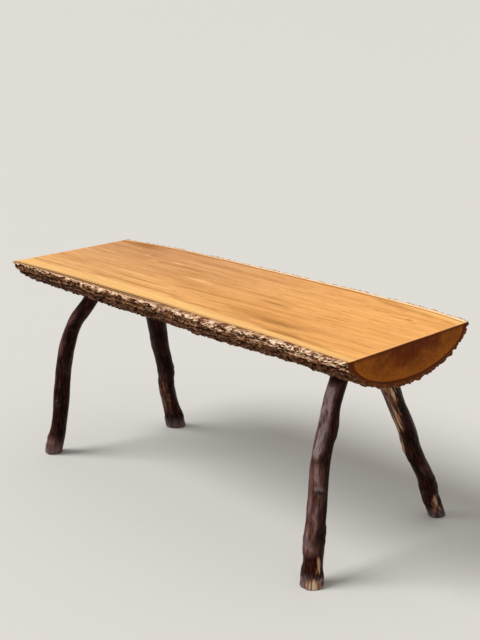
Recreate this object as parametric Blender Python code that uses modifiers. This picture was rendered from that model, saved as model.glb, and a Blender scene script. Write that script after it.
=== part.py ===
"""Split log bench: a half log with its bark on, standing on four crooked branch legs.

Each leg has a round tenon that sits in a blind, stepped mortise in the log's round side, where a
wedge in the tenon's saw cut spreads it. Metres, +Z up, X along the log from its left end to its
right, Y from the front to the back. The origin is on the floor under the middle of the footprint.
"""

import math

import bmesh
import bpy
from mathutils import Matrix, Vector, noise
from mathutils.geometry import interpolate_bezier

# Half log, over its bark
SEAT_HEIGHT = 0.450  # floor to the flat of the seat
SEAT_LENGTH = 1.042  # along the middle of the flat
LEFT_WIDTH = 0.324  # at the two ends, between which the log swells
RIGHT_WIDTH = 0.340
FRONT_BULGE = 0.003  # how far the edges stand out from a straight line between their corners
BACK_BULGE = 0.029
BULGE_AT = 0.080  # where they stand out the most, right of the middle
LOG_DEPTH = 0.0815  # flat of the seat to the lowest bark, at the right end
HEART_RISE = 0.004  # the widest part of the log lies this far above the flat
SECTION_POWER = 1.8  # 2 is an ellipse, less is leaner in the flanks
LEFT_SKEW = 1.7  # degrees that each end is sawn out of square, longer at the front
RIGHT_SKEW = 1.2
LOG_WAVE = 0.004  # slow swell of the log along its length
LOG_WAVE_LENGTH = 0.22

# Bark
BARK_EDGE = 0.009  # thickness beside the flat of the seat
FRONT_RIM = 0.014  # what the bark gains on that at the front, where the log swells the most
BARK_BELLY = 0.0125  # thickness under the middle
FURROW_DEPTH = 0.0055
RIDGES = 17  # across the round side
RIDGE_WANDER = 0.9  # of one ridge's width, to and fro
WANDER_LENGTH = 0.085  # along the log, over which the ridges wander
WANDERS_ACROSS = 2.0  # for each radian round the log
BREAK_LENGTH = 0.0425  # along the log, over which the ridges sink and rise again
BREAKS_ACROSS = 4.0
BREAK_SHARE = 0.6  # of its height that a ridge loses where it sinks the most
WANDER_SLICE = 3.0  # planes of the noise that the two patterns are read from
BREAK_SLICE = 9.0

# Joints between the log and its legs
FIT = 0.0003  # clearance between pieces that touch
TENON_DIAMETER = 0.025
SHOULDER_BURY = 0.004  # the leg's shoulder lies this far below the wood's round surface
SEAT_COVER = 0.014  # wood left over each blind mortise
TENON_END_ROOM = 0.002
WEDGE_LENGTH = 0.020
WEDGE_THICK = 0.005
WEDGE_TIP = 0.0015

# Legs
NECK_RUN = 0.014  # straight stretch of leg below the bark
FOOT_WASTE = 0.030  # length of branch below the floor line, sawn off
BRANCH_ROUGH = 0.0012  # height of the uneven skin
BRANCH_GRAIN = 0.018  # width of its swellings
GRAIN_STRETCH = 3  # how many times longer than wide they are

# end is -1 at the left and side is -1 at the front; inset and across place the leg's mouth from the
# end of the seat and from its middle line; splay is how far the foot stands out from the mouth, along
# X and Y; lean is the tenon's slope outwards for each unit of drop; the diameter changes from neck to
# shaft over the fade, a share of the drop; crooks are outward offsets from the straight line to the
# foot, at shares of the drop; knots are shares of the drop, headings in degrees from +X, heights and
# spreads.
LEGS = {
    "front_left": {
        "end": -1, "side": -1, "inset": 0.170, "across": 0.069,
        "splay": (0.091, 0.070), "lean": (0.60, 0.34), "neck": 0.033, "shaft": 0.0355, "fade": 0.42,
        "crooks": [
            (0.16, 0.0275, 0.009), (0.30, 0.0325, 0.0125), (0.47, 0.0262, 0.012),
            (0.66, 0.0095, 0.0075), (0.85, 0.0, 0.0025),
        ],
        "knots": [
            (0.46, 48, 0.003, 0.040), (0.30, 140, 0.005, 0.018),
            (0.66, 300, 0.004, 0.016), (0.92, 228, 0.006, 0.017),
        ],
    },
    "back_left": {
        "end": -1, "side": 1, "inset": 0.206, "across": 0.072,
        "splay": (0.056, 0.100), "lean": (0.17, 0.27), "neck": 0.048, "shaft": 0.038, "fade": 0.50,
        "crooks": [
            (0.40, 0.0045, 0.002), (0.52, 0.0025, 0.002), (0.67, 0.0100, 0.002), (0.88, 0.0045, 0.001),
        ],
        "knots": [
            (0.57, 48, 0.005, 0.022), (0.96, 48, 0.008, 0.022),
            (0.36, 200, 0.004, 0.020), (0.76, 300, 0.004, 0.016), (0.98, 228, 0.005, 0.017),
        ],
    },
    "front_right": {
        "end": 1, "side": -1, "inset": 0.096, "across": 0.081,
        "splay": (0.010, 0.084), "lean": (-0.16, 0.22), "neck": 0.034, "shaft": 0.0365, "fade": 0.42,
        "crooks": [
            (0.13, -0.0098, 0.0), (0.26, -0.0128, 0.0005), (0.40, -0.0176, 0.001),
            (0.55, -0.0134, 0.001), (0.78, -0.0075, 0.001),
        ],
        "knots": [
            (0.27, 48, 0.004, 0.016), (0.53, 318, 0.004, 0.018), (0.79, 228, 0.003, 0.016),
            (0.77, 48, 0.004, 0.014), (0.97, 20, 0.006, 0.018), (0.97, 205, 0.006, 0.018),
        ],
    },
    "back_right": {
        "end": 1, "side": 1, "inset": 0.121, "across": 0.059,
        "splay": (0.003, 0.173), "lean": (0.015, 0.46), "neck": 0.041, "shaft": 0.034, "fade": 0.26,
        "crooks": [
            (0.25, -0.0015, 0.001), (0.44, 0.0005, 0.002), (0.55, -0.0034, 0.0025),
            (0.76, 0.0030, 0.0025), (0.90, 0.0, 0.0015),
        ],
        "knots": [
            (0.52, 228, 0.004, 0.022), (0.76, 48, 0.004, 0.018),
            (0.83, 300, 0.004, 0.016), (0.35, 100, 0.004, 0.016), (0.86, 228, 0.004, 0.026),
        ],
    },
}

# Facets
BARK_ALONG = 60
BARK_AROUND = 56
WOOD_ALONG = 20
WOOD_AROUND = 26
OFFCUT_AROUND = 4  # over the half of the log that is sawn away
ROUND_STEPS = 28
LEG_BEVEL = 5
RING_STEP = 0.014
SLOPE_STEP = 0.0025  # over which a slope of the round side is taken
WELD = 0.00001  # points closer than this are one
SHARP_ANGLE = 40  # degrees between two faces, above which their edge shows

# Finishes: a colour in sRGB and a roughness
SEAT_FINISH = ((0.80, 0.53, 0.25), 0.35)
BARK_FINISH = ((0.40, 0.28, 0.22), 0.6)
BRANCH_FINISH = ((0.20, 0.12, 0.11), 0.4)
WEDGE_FINISH = ((0.70, 0.52, 0.32), 0.7)
SRGB_POWER = 2.2  # from sRGB to linear, near enough for a plain colour


def empty_scene():
    """Removes what the scene holds."""
    for thing in list(bpy.data.objects):
        bpy.data.objects.remove(thing, do_unlink=True)


def collection(name):
    """A new collection in the scene."""
    made = bpy.data.collections.new(name)
    bpy.context.scene.collection.children.link(made)
    return made


def finish(name, colour, roughness):
    """A plain material of one colour."""
    material = bpy.data.materials.new(name)
    material.use_nodes = True
    shader = material.node_tree.nodes["Principled BSDF"]
    shader.inputs["Base Color"].default_value = (*(part ** SRGB_POWER for part in colour), 1.0)
    shader.inputs["Roughness"].default_value = roughness
    shader.inputs["Metallic"].default_value = 0.0
    return material


def place(name, mesh, group, root, at=None, material=None):
    """Puts a mesh in the bench's frame, at its own location and rotation."""
    item = bpy.data.objects.new(name, mesh)
    group.objects.link(item)
    item.parent = root
    item.matrix_basis = at or Matrix.Identity(4)
    if material:
        mesh.materials.append(material)
        mesh.shade_smooth()
        mesh.set_sharp_from_angle(angle=math.radians(SHARP_ANGLE))
    return item


def as_cutter(item):
    """Marks a shape that only cuts or joins others."""
    item.hide_render = True
    item.display_type = "WIRE"
    return item


def boolean(item, operation, tool):
    """Cuts or joins a piece with another shape."""
    step = item.modifiers.new(f"{operation.lower()} {tool.name}", "BOOLEAN")
    step.operation = operation
    step.solver = "EXACT"
    step.object = tool


def mesh_of(bm, name):
    """Turns a bmesh into a mesh with its faces outward."""
    bmesh.ops.recalc_face_normals(bm, faces=bm.faces)
    mesh = bpy.data.meshes.new(name)
    bm.to_mesh(mesh)
    bm.free()
    return mesh


# The log


def reach(x):
    """How far x lies from where the log swells the most, as a share of the way to that end."""
    return abs(x - BULGE_AT) / (SEAT_LENGTH / 2 - math.copysign(BULGE_AT, x - BULGE_AT))


def edges(x):
    """Front and back edges of the log, over the bark: a taper to the left end and a swell between."""
    straight = (LEFT_WIDTH + (RIGHT_WIDTH - LEFT_WIDTH) * (x / SEAT_LENGTH + 0.5)) / 2
    front = -straight - FRONT_BULGE * (1 - reach(x) ** 2)
    back = straight + BACK_BULGE * (1 - reach(x) ** 4)
    return front, back


def middle(x):
    """The log's middle line."""
    front, back = edges(x)
    return (front + back) / 2


def half_width(x):
    """Half the log's width over the bark."""
    front, back = edges(x)
    return (back - front) / 2


def depth_below_heart(x):
    """Depth of the bark's lowest line below the widest part of the log."""
    return LOG_DEPTH * 2 * half_width(x) / RIGHT_WIDTH + HEART_RISE


def log_point(x, turn, edge_inset, belly_inset):
    """A point on the log: turn is 0 at the front edge, pi / 2 at the belly and pi at the back edge."""
    across, down = math.cos(turn), math.sin(turn)
    swell = LOG_WAVE * noise.noise(Vector((x / LOG_WAVE_LENGTH, across, 0.0)))
    wide = half_width(x) + swell - edge_inset
    deep = depth_below_heart(x) + swell - belly_inset
    bend = 2 / SECTION_POWER
    y = middle(x) - wide * math.copysign(abs(across) ** bend, across)
    z = SEAT_HEIGHT + HEART_RISE - deep * math.copysign(abs(down) ** bend, down)
    return Vector((x, y, z))


def furrow(x, turn):
    """Depth of the bark's furrows: long ridges that wander, part and close up again."""
    wander = noise.noise(Vector((x / WANDER_LENGTH, WANDERS_ACROSS * turn, WANDER_SLICE)))
    ridge = abs(math.sin(RIDGES * turn + math.pi * RIDGE_WANDER * wander))
    sunk = (1 + noise.noise(Vector((x / BREAK_LENGTH, BREAKS_ACROSS * turn, BREAK_SLICE)))) / 2
    return FURROW_DEPTH * (1 - ridge * (1 - BREAK_SHARE * sunk))


def bark_inset(x, turn):
    """How far the bark's surface lies below its highest ridges."""
    deep = furrow(x, turn)
    return deep, deep


def wood_inset(x, turn):
    """How far the wood lies below the bark's ridges."""
    front_rim = FRONT_RIM * (1 - reach(x) ** 2) * max(0.0, math.cos(turn)) ** 2
    return BARK_EDGE + front_rim, BARK_BELLY


def wood_room(x, turn):
    """The wood's surface with the clearance that the bark keeps to it."""
    edge, belly = wood_inset(x, turn)
    return edge - FIT, belly - FIT


def log_form(along, around, inset):
    """A closed loft of log sections, longer than the seat at both ends."""
    overrun = SEAT_LENGTH / along
    turns = [math.pi * step / around for step in range(around + 1)]
    turns += [math.pi * (1 + step / OFFCUT_AROUND) for step in range(1, OFFCUT_AROUND)]
    bm = bmesh.new()
    rings = []
    for step in range(along + 1):
        x = (step / along - 0.5) * (SEAT_LENGTH + 2 * overrun)
        rings.append([bm.verts.new(log_point(x, turn, *inset(x, turn))) for turn in turns])
    for ring, following in zip(rings, rings[1:]):
        for k in range(len(turns)):
            bm.faces.new((ring[k - 1], ring[k], following[k], following[k - 1]))
    bm.faces.new(rings[0])
    bm.faces.new(rings[-1])
    return bm


def saw(bm, point, normal):
    """Saws off what lies on the normal's side of a plane and closes the cut."""
    everything = bm.verts[:] + bm.edges[:] + bm.faces[:]
    cut = bmesh.ops.bisect_plane(bm, geom=everything, plane_co=point, plane_no=normal, clear_outer=True)
    rim = [part for part in cut["geom_cut"] if isinstance(part, bmesh.types.BMEdge)]
    bmesh.ops.edgeloop_fill(bm, edges=rim)


def split_log(along, around, inset):
    """A log split along the seat's flat and sawn to length."""
    bm = log_form(along, around, inset)
    saw(bm, Vector((0, 0, SEAT_HEIGHT)), Vector((0, 0, 1)))
    for end, skew in ((-1, LEFT_SKEW), (1, RIGHT_SKEW)):
        saw(bm, Vector((end * SEAT_LENGTH / 2, 0, 0)), Vector((end, math.tan(math.radians(skew)), 0)))
    return bm


# The joints


def bark_height(x, y):
    """Height of the bark's ridges on the round side."""
    share = (abs(y - middle(x)) / half_width(x)) ** SECTION_POWER
    fall = depth_below_heart(x) * max(0.0, 1 - share) ** (1 / SECTION_POWER)
    return SEAT_HEIGHT + HEART_RISE - fall


def bark_normal(x, y):
    """Direction that the round side faces."""
    step = SLOPE_STEP
    along = (bark_height(x + step, y) - bark_height(x - step, y)) / (2 * step)
    across = (bark_height(x, y + step) - bark_height(x, y - step)) / (2 * step)
    return Vector((along, across, -1)).normalized()


def joint(leg):
    """Where a leg meets the log: its mouth, its axis, its shoulder's frame and its mortise's depth."""
    x = leg["end"] * (SEAT_LENGTH / 2 - leg["inset"])
    y = leg["side"] * leg["across"]
    mouth = Vector((x, y, bark_height(x, y)))
    axis = Vector((leg["end"] * leg["lean"][0], leg["side"] * leg["lean"][1], -1)).normalized()
    tilt = axis.angle(bark_normal(x, y))
    buried = (BARK_BELLY + SHOULDER_BURY) / math.cos(tilt) + leg["neck"] / 2 * math.tan(tilt)
    shoulder = mouth - axis * buried
    up = -axis
    right = (Vector((1, 0, 0)) - up * up.x).normalized()
    frame = Matrix.Translation(shoulder) @ Matrix((right, up.cross(right), up)).transposed().to_4x4()
    highest_rim = (TENON_DIAMETER / 2 + FIT) * math.sin(axis.angle(Vector((0, 0, -1))))
    depth = (SEAT_HEIGHT - SEAT_COVER - highest_rim - shoulder.z) / up.z
    return {"mouth": mouth, "axis": axis, "frame": frame, "buried": buried, "depth": depth}


def turned(profile, name):
    """A profile of radii and heights, top to bottom, for a Screw modifier to turn."""
    bm = bmesh.new()
    points = [bm.verts.new((radius, 0, height)) for radius, height in profile]
    for upper, lower in zip(points, points[1:]):
        bm.edges.new((upper, lower))
    mesh = bpy.data.meshes.new(name)
    bm.to_mesh(mesh)
    bm.free()
    return mesh


def socket_cutter(name, leg, fitted, group, root):
    """The stepped mortise: a bore for the tenon over a counterbore that takes the leg's neck."""
    bore = TENON_DIAMETER / 2 + FIT
    counterbore = leg["neck"] / 2 + FIT
    below = -fitted["buried"] - leg["neck"]
    profile = [
        (0, fitted["depth"]), (bore, fitted["depth"]), (bore, FIT),
        (counterbore, FIT), (counterbore, below), (0, below),
    ]
    cutter = place(name, turned(profile, name), group, root, fitted["frame"])
    turn = cutter.modifiers.new("turn", "SCREW")
    turn.steps = ROUND_STEPS
    turn.render_steps = ROUND_STEPS
    turn.use_merge_vertices = True
    turn.merge_threshold = WELD
    return as_cutter(cutter)


def tenon(name, leg, fitted, group, root):
    """The leg's round tenon, sunk into the shaft so that the two join."""
    sunk = leg["neck"] / 4
    length = fitted["depth"] - TENON_END_ROOM + sunk
    bm = bmesh.new()
    centre = Matrix.Translation((0, 0, length / 2 - sunk))
    radius = TENON_DIAMETER / 2
    bmesh.ops.create_cone(
        bm, cap_ends=True, segments=ROUND_STEPS, radius1=radius, radius2=radius, depth=length, matrix=centre
    )
    return as_cutter(place(name, mesh_of(bm, name), group, root, fitted["frame"]))


def tapered_block(name, width, length, thick, tip, top):
    """A wedge that hangs point down from its top, its width along Y."""
    bm = bmesh.new()
    bmesh.ops.create_cube(bm, size=1.0)
    for vert in bm.verts:
        across = thick if vert.co.z > 0 else tip
        vert.co = Vector((vert.co.x * across, vert.co.y * width, (vert.co.z - 0.5) * length + top))
    return mesh_of(bm, name)


def wedge_width():
    """The widest wedge whose corners stay inside the tenon's round."""
    return 2 * math.sqrt((TENON_DIAMETER / 2) ** 2 - (WEDGE_THICK / 2) ** 2)


def wedge_mesh(name, fitted):
    """The wedge, its thick end against the mortise's floor."""
    return tapered_block(name, wedge_width(), WEDGE_LENGTH, WEDGE_THICK, WEDGE_TIP, fitted["depth"] - FIT)


def kerf_cutter(name, fitted, group, root):
    """The tenon's saw cut, opened by the wedge, with clearance on every side."""
    mesh = tapered_block(
        name, 2 * TENON_DIAMETER, WEDGE_LENGTH + FIT, WEDGE_THICK + 2 * FIT, WEDGE_TIP + 2 * FIT,
        fitted["depth"] - FIT,
    )
    return as_cutter(place(name, mesh, group, root, fitted["frame"]))


# The legs


def foot_point(leg, fitted):
    """The middle of the leg's foot on the floor."""
    mouth = fitted["mouth"]
    return Vector((mouth.x + leg["end"] * leg["splay"][0], mouth.y + leg["side"] * leg["splay"][1], 0))


def centre_line(leg, fitted):
    """Points down the branch: straight out of the log, through each crook and on below the floor."""
    mouth, axis = fitted["mouth"], fitted["axis"]
    foot = foot_point(leg, fitted)
    stations = [fitted["frame"].translation, mouth + axis * NECK_RUN]
    for share, out_x, out_y in leg["crooks"]:
        offset = Vector((leg["end"] * out_x, leg["side"] * out_y, 0))
        stations.append(mouth.lerp(foot, share) + offset)
    stations.append(foot)
    stations.append(foot + (foot - stations[-2]).normalized() * FOOT_WASTE)
    headings = [axis, axis]
    headings += [(after - before).normalized() for before, after in zip(stations[1:], stations[3:])]
    headings.append((stations[-1] - stations[-2]).normalized())
    points = [stations[0]]
    for k in range(len(stations) - 1):
        start, end = stations[k], stations[k + 1]
        span = (end - start).length
        leave = start + headings[k] * span / 3
        arrive = end - headings[k + 1] * span / 3
        count = max(2, round(span / RING_STEP) + 1)
        points += interpolate_bezier(start, leave, arrive, end, count)[1:]
    return points


def smooth_share(value):
    """Eases a share between 0 and 1."""
    value = min(1.0, max(0.0, value))
    return value * value * (3 - 2 * value)


def shaft_radius(leg, fitted, point):
    """The branch's radius, from the neck in the log to the shaft."""
    top = (fitted["mouth"] + fitted["axis"] * NECK_RUN).z
    faded = smooth_share((top - point.z) / (top * leg["fade"]))
    return (leg["neck"] + (leg["shaft"] - leg["neck"]) * faded) / 2


def branch_mesh(name, leg, fitted):
    """The bare branch: a tube along its centre line, then roughened and knotted below the neck."""
    line = centre_line(leg, fitted)
    curve = bpy.data.curves.new(name, "CURVE")
    curve.dimensions = "3D"
    curve.bevel_depth = 1.0
    curve.bevel_resolution = LEG_BEVEL
    curve.use_fill_caps = True
    spline = curve.splines.new("POLY")
    spline.points.add(len(line) - 1)
    for point, spot in zip(spline.points, line):
        point.co = (*spot, 1.0)
        point.radius = shaft_radius(leg, fitted, spot)
    tube = bpy.data.objects.new(name, curve)
    bpy.context.scene.collection.objects.link(tube)
    solid = tube.evaluated_get(bpy.context.evaluated_depsgraph_get())
    mesh = bpy.data.meshes.new_from_object(solid)
    bpy.data.objects.remove(tube, do_unlink=True)
    bpy.data.curves.remove(curve)
    bm = bmesh.new()
    bm.from_mesh(mesh)
    bmesh.ops.remove_doubles(bm, verts=bm.verts, dist=WELD)
    knot_branch(bm, leg, fitted, line)
    bm.to_mesh(mesh)
    bm.free()
    mesh.name = name
    mesh.transform(fitted["frame"].inverted())
    return mesh


def knot_branch(bm, leg, fitted, line):
    """Pushes the branch's skin out at its knots and makes it a little uneven."""
    neck_end = (fitted["mouth"] + fitted["axis"] * (NECK_RUN + leg["neck"] / 2)).z
    bm.normal_update()
    for vert in bm.verts:
        eased = smooth_share((neck_end - vert.co.z) / leg["neck"])
        grain = Vector((vert.co.x, vert.co.y, vert.co.z / GRAIN_STRETCH)) / BRANCH_GRAIN
        vert.co += vert.normal * (BRANCH_ROUGH * noise.noise(grain) * eased)
    for share, heading, height, spread in leg["knots"]:
        level = fitted["mouth"].z * (1 - share)
        heart = min(line, key=lambda point: abs(point.z - level))
        way = Vector((math.cos(math.radians(heading)), math.sin(math.radians(heading)), 0))
        crown = heart + way * leg["shaft"] / 2
        for vert in bm.verts:
            eased = smooth_share((neck_end - vert.co.z) / leg["neck"])
            vert.co += way * (height * eased * math.exp(-((vert.co - crown).length / spread) ** 2))


def footprint_middle(fitted_legs):
    """The middle of the box round the seat and the feet, on the floor."""
    low = -max(LEFT_WIDTH, RIGHT_WIDTH) / 2
    high = edges(BULGE_AT)[1]
    for leg, fitted in fitted_legs:
        foot = foot_point(leg, fitted)
        low = min(low, foot.y - leg["shaft"] / 2)
        high = max(high, foot.y + leg["shaft"] / 2)
    return Vector((0, (low + high) / 2, 0))


def floor_cutter(group, root):
    """Everything below the floor, for sawing the feet flat."""
    size = SEAT_LENGTH
    bm = bmesh.new()
    bmesh.ops.create_cube(bm, size=1.0)
    bmesh.ops.scale(bm, vec=(2 * size, 2 * size, 4 * FOOT_WASTE), verts=bm.verts)
    bmesh.ops.translate(bm, vec=(0, 0, -2 * FOOT_WASTE), verts=bm.verts)
    return as_cutter(place("floor_line", mesh_of(bm, "floor_line"), group, root))


def build_bench():
    """Builds every piece of the bench."""
    empty_scene()
    bench = collection("split_log_bench")
    cutters = collection("cutters")
    fitted_legs = {name: (leg, joint(leg)) for name, leg in LEGS.items()}
    root = bpy.data.objects.new("bench_frame", None)
    bench.objects.link(root)
    root.location = -footprint_middle(fitted_legs.values())

    seat_finish = finish("varnished_seat_wood", *SEAT_FINISH)
    bark_finish = finish("varnished_bark", *BARK_FINISH)
    branch_finish = finish("varnished_branch", *BRANCH_FINISH)
    wedge_finish = finish("bare_wedge_wood", *WEDGE_FINISH)

    slab_mesh = mesh_of(split_log(WOOD_ALONG, WOOD_AROUND, wood_inset), "seat_slab")
    slab = place("seat_slab", slab_mesh, bench, root, material=seat_finish)
    bark_mesh = mesh_of(split_log(BARK_ALONG, BARK_AROUND, bark_inset), "bark")
    bark = place("bark", bark_mesh, bench, root, material=bark_finish)
    room_mesh = mesh_of(log_form(WOOD_ALONG, WOOD_AROUND, wood_room), "wood_room")
    boolean(bark, "DIFFERENCE", as_cutter(place("wood_room", room_mesh, cutters, root)))

    floor = floor_cutter(cutters, root)
    for name, (leg, fitted) in fitted_legs.items():
        socket = socket_cutter(f"socket_{name}", leg, fitted, cutters, root)
        boolean(slab, "DIFFERENCE", socket)
        boolean(bark, "DIFFERENCE", socket)
        branch = branch_mesh(f"leg_{name}", leg, fitted)
        standing = place(f"leg_{name}", branch, bench, root, fitted["frame"], branch_finish)
        boolean(standing, "UNION", tenon(f"tenon_{name}", leg, fitted, cutters, root))
        boolean(standing, "DIFFERENCE", kerf_cutter(f"kerf_{name}", fitted, cutters, root))
        boolean(standing, "DIFFERENCE", floor)
        wedge = wedge_mesh(f"wedge_{name}", fitted)
        place(f"wedge_{name}", wedge, bench, root, fitted["frame"], wedge_finish)
    bpy.context.view_layer.update()


build_bench()
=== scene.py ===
"""Split log bench: the look of a half log seat, its bark and its four crooked branch legs.

The pieces follow the same log and the same branches as the solids they stand for. Metres, +Z up, X along
the log from its left end to its right, Y from the front to the back, the floor at Z = 0.
"""

import math
from contextlib import contextmanager
from functools import partial

import bmesh
import bpy
from bpy.props import FloatProperty, FloatVectorProperty, IntProperty, PointerProperty
from mathutils import Matrix, Vector, noise
from mathutils.geometry import interpolate_bezier


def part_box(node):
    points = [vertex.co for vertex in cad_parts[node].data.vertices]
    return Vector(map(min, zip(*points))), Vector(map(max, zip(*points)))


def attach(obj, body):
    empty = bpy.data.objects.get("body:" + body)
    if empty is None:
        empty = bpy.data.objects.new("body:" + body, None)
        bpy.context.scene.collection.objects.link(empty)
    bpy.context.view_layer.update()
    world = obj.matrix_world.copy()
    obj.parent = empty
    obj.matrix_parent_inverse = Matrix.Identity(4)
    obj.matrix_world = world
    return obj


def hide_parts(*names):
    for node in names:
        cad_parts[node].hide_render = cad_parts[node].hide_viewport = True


bl_info = {
    "name": "Split Log Bench",
    "version": (1, 0, 0),
    "blender": (4, 5, 0),
    "location": "View3D > Sidebar > Log Bench",
    "description": "Gives a split log bench its varnished wood, its bark and its branch legs",
    "category": "Object",
}

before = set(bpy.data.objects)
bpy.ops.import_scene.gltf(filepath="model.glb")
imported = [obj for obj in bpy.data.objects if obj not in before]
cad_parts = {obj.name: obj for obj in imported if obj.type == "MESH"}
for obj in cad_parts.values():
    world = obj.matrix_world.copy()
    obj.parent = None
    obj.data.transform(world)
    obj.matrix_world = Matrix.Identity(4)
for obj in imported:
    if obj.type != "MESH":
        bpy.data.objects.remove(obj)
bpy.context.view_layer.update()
SEAT_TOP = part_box("seat_slab")[1].z
BODY = "root"

# Half log, over its bark
SEAT_LENGTH = 1.042
LEFT_WIDTH = 0.324
RIGHT_WIDTH = 0.340
FRONT_BULGE = 0.003
BACK_BULGE = 0.029
BULGE_AT = 0.080
LOG_DEPTH = 0.0815
HEART_RISE = 0.004
SECTION_POWER = 1.8
SECTION_BEND = 2 / SECTION_POWER
LEFT_SKEW = math.radians(1.7)
RIGHT_SKEW = math.radians(1.2)
LOG_WAVE = 0.004
LOG_WAVE_LENGTH = 0.22

# Flat and ends of the seat
GRAIN_BEND = 0.010  # how far the grain lines wander from straight
GRAIN_BEND_SIZES = (0.22, 0.055, 0.055)
GRAIN_BEND_SHIFT = 41  # keeps this pattern apart from the others
YEAR_TURN = 95.0  # how far the year rings' wave turns from the heart to the bark, in radians
MARK_EDGE = (1.7, 0.8)  # where a mark on the flat starts and where it is full, in shares of its half size
PLANE_WAVE_LENGTH = 0.16
PLANE_WAVE_WIDTH = 0.035
PLANE_SLICE = 2.0
ARRIS_ANGLES = (0, 25, 50, 70, 90)  # facets of the eased arrises
ARRIS_DARK = 0.7  # how dark the varnish is that gathered along the arrises
ARRIS_GLINT = 0.4  # how pale the painted highlight is beside it, along the arris's top facet
ARRIS_ROWS = 1.5  # rows of facets that it reaches down the end
ARRIS_SLACK = 1.01  # counts the arris's last facet in spite of rounding
CHECK_AT = 0.515  # place of the drying crack, as a share of the way from the front to the back
CHECK_STEPS = (0.35, 0.8, 1.5)  # facets beside it, as shares of half its width
CHECK_CLOSES = (0.25, 2 / 3)  # shares of the way down where it starts to close and has closed
# How dark the drying crack is painted: painted shade inside it
CHECK_DARK = 0.6
WIDTHS_PER_METRE = 3.0  # seats side by side in a metre, about
END_FACING = 0.6  # how far along the log a face looks that is part of a sawn end
END_UPRIGHT = 0.3  # how far up or down a face looks at most that is part of the crack
END_REACH = 0.012
END_DARKENS = (0.010, 0.002)  # depths under the top where an end starts to darken and is darkest

# Bark
BARK_EDGE = 0.009
FRONT_RIM = 0.014
BARK_BELLY = 0.0125
FURROW_DEPTH = 0.0055
RIDGES = 17
RIDGE_WANDER = 0.9
WANDER_LENGTH = 0.085
WANDERS_ACROSS = 2.0
BREAK_LENGTH = 0.0425
BREAKS_ACROSS = 4.0
BREAK_SHARE = 0.6
WANDER_SLICE = 3.0
BREAK_SLICE = 9.0
RIM_BAND = (0.005, 0.018)  # width of the pale bark along the front rim at the left and the right
RIM_BAND_GROWS = (0.12, 0.92)  # shares of the way along the log between which it grows
RIM_BAND_BEHIND = 0.010
SHADE_FROM = 0.7  # where the painted shade below the pale rim starts, in widths of the pale band
SHADE_RUN = 0.03
RIM_CHIP = 0.0045  # depth of the chips broken off the rim
RIM_CHIP_LENGTH = 0.013
RIM_CHIP_FINE = 2.7  # how much shorter the chips in the chips are
RIM_CHIP_LEVEL = (0.35, 1.3)  # how deep the rim is chipped on the whole, and how much that changes along it
RIM_CHIP_BEHIND = 0.5  # how deep they are along the back rim, as a share
RIM_CHIP_REACH = 0.5  # share of the rim's width that they reach in
RIM_CHIP_FALL = 0.016  # how far down the bark's side they fade
RIM_CHIP_ENDS = 3  # facets at the sawn ends that have none
RIM_LAYERS = (0.15, 0.30, 0.45, 0.68, 0.92)  # shares of the way from the bark's outside to the wood
PLATE_SLIDE = 0.035  # how far the rows of plates wander across the log
FLAKE_GROUND = (0.30, 0.65)  # worn height of the bark where flakes start and where they lie the thickest
FLAKE_WORN = (0.25, 0.85)  # how worn the flakes look
OPEN_SKIN = 0.99  # marks the bark's outside, short of its cut rim
FLAKE_TIP = (0.10, 0.20, 0.35)  # how far a loose flake is tipped and turned at most, in radians
FLAKE_LEAST = (0.55, 0.6, 0.7)  # the smallest flake's sizes, in shares of the usual ones
FLAKE_MOST = (1.6, 1.5, 1.3)  # the largest flake's
FLAKE_RAGGED = (0.006, 0.004, 0.002)  # how far its corners stray
FLAKE_RAGGED_SIZE = 0.006  # size of the pattern that they follow
CLEAR_OF_LEGS = 0.85  # flakes keep so many neck widths from the legs
CLEAR_OF_ENDS = 0.012
CLEAR_OF_RIM = 0.003

# Joints
FIT = 0.0003
TENON_DIAMETER = 0.025
SHOULDER_BURY = 0.004
SEAT_COVER = 0.014
TENON_END_ROOM = 0.002
WEDGE_LENGTH = 0.020
WEDGE_THICK = 0.005
WEDGE_TIP = 0.0015
SLOPE_STEP = 0.0025
PLUG_REACH = 0.05  # how far the shapes that cut the mortises reach out of the log

# Legs
NECK_RUN = 0.014
NECK_SMOOTH = 0.02  # way below the neck over which the wrinkles come up
FOOT_WASTE = 0.030
KNOT_STRETCH = 0.75  # width of a knot as a share of its length along the branch
KNOT_UNEVEN = 0.5
KNOT_REACH = 3  # how far out a knot still lifts the skin, in widths of the knot
KNOT_EYE_DEPTH = 0.5  # depth of a knot's sunk eye as a share of its height
KNOT_EYE = 0.30  # width of the eye as a share of the knot's
KNOT_MARK = 0.45  # width of its marked middle as a share of the knot's
KNOT_SCARS = (0.017, 0.020)  # knots between these widths have healed with a crease across them: a painted highlight on its lip and painted shade in the crease
PATCH_EDGE = 0.06  # share of the drop over which a patch fades in and out
PATCH_SIDE = 1.5  # where a patch has faded out sideways, in shares of half its angle
FOOT_EASE = 0.0035  # how far each foot is worn round at the floor
FOOT_CUTS = (0.25, 0.6, 1.0)  # facets of that wear, as shares of its height
FOOT_CHIPPED = 0.8  # how unevenly it is worn
FOOT_CHIPS_PER_METRE = 160
FOOT_DUST = (0.032, 0.004)  # heights over the floor where dust starts and where it lies the thickest
SCAR_WANDER = 0.20  # how far the lines of a healed knot wander, in widths of the knot
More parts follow.
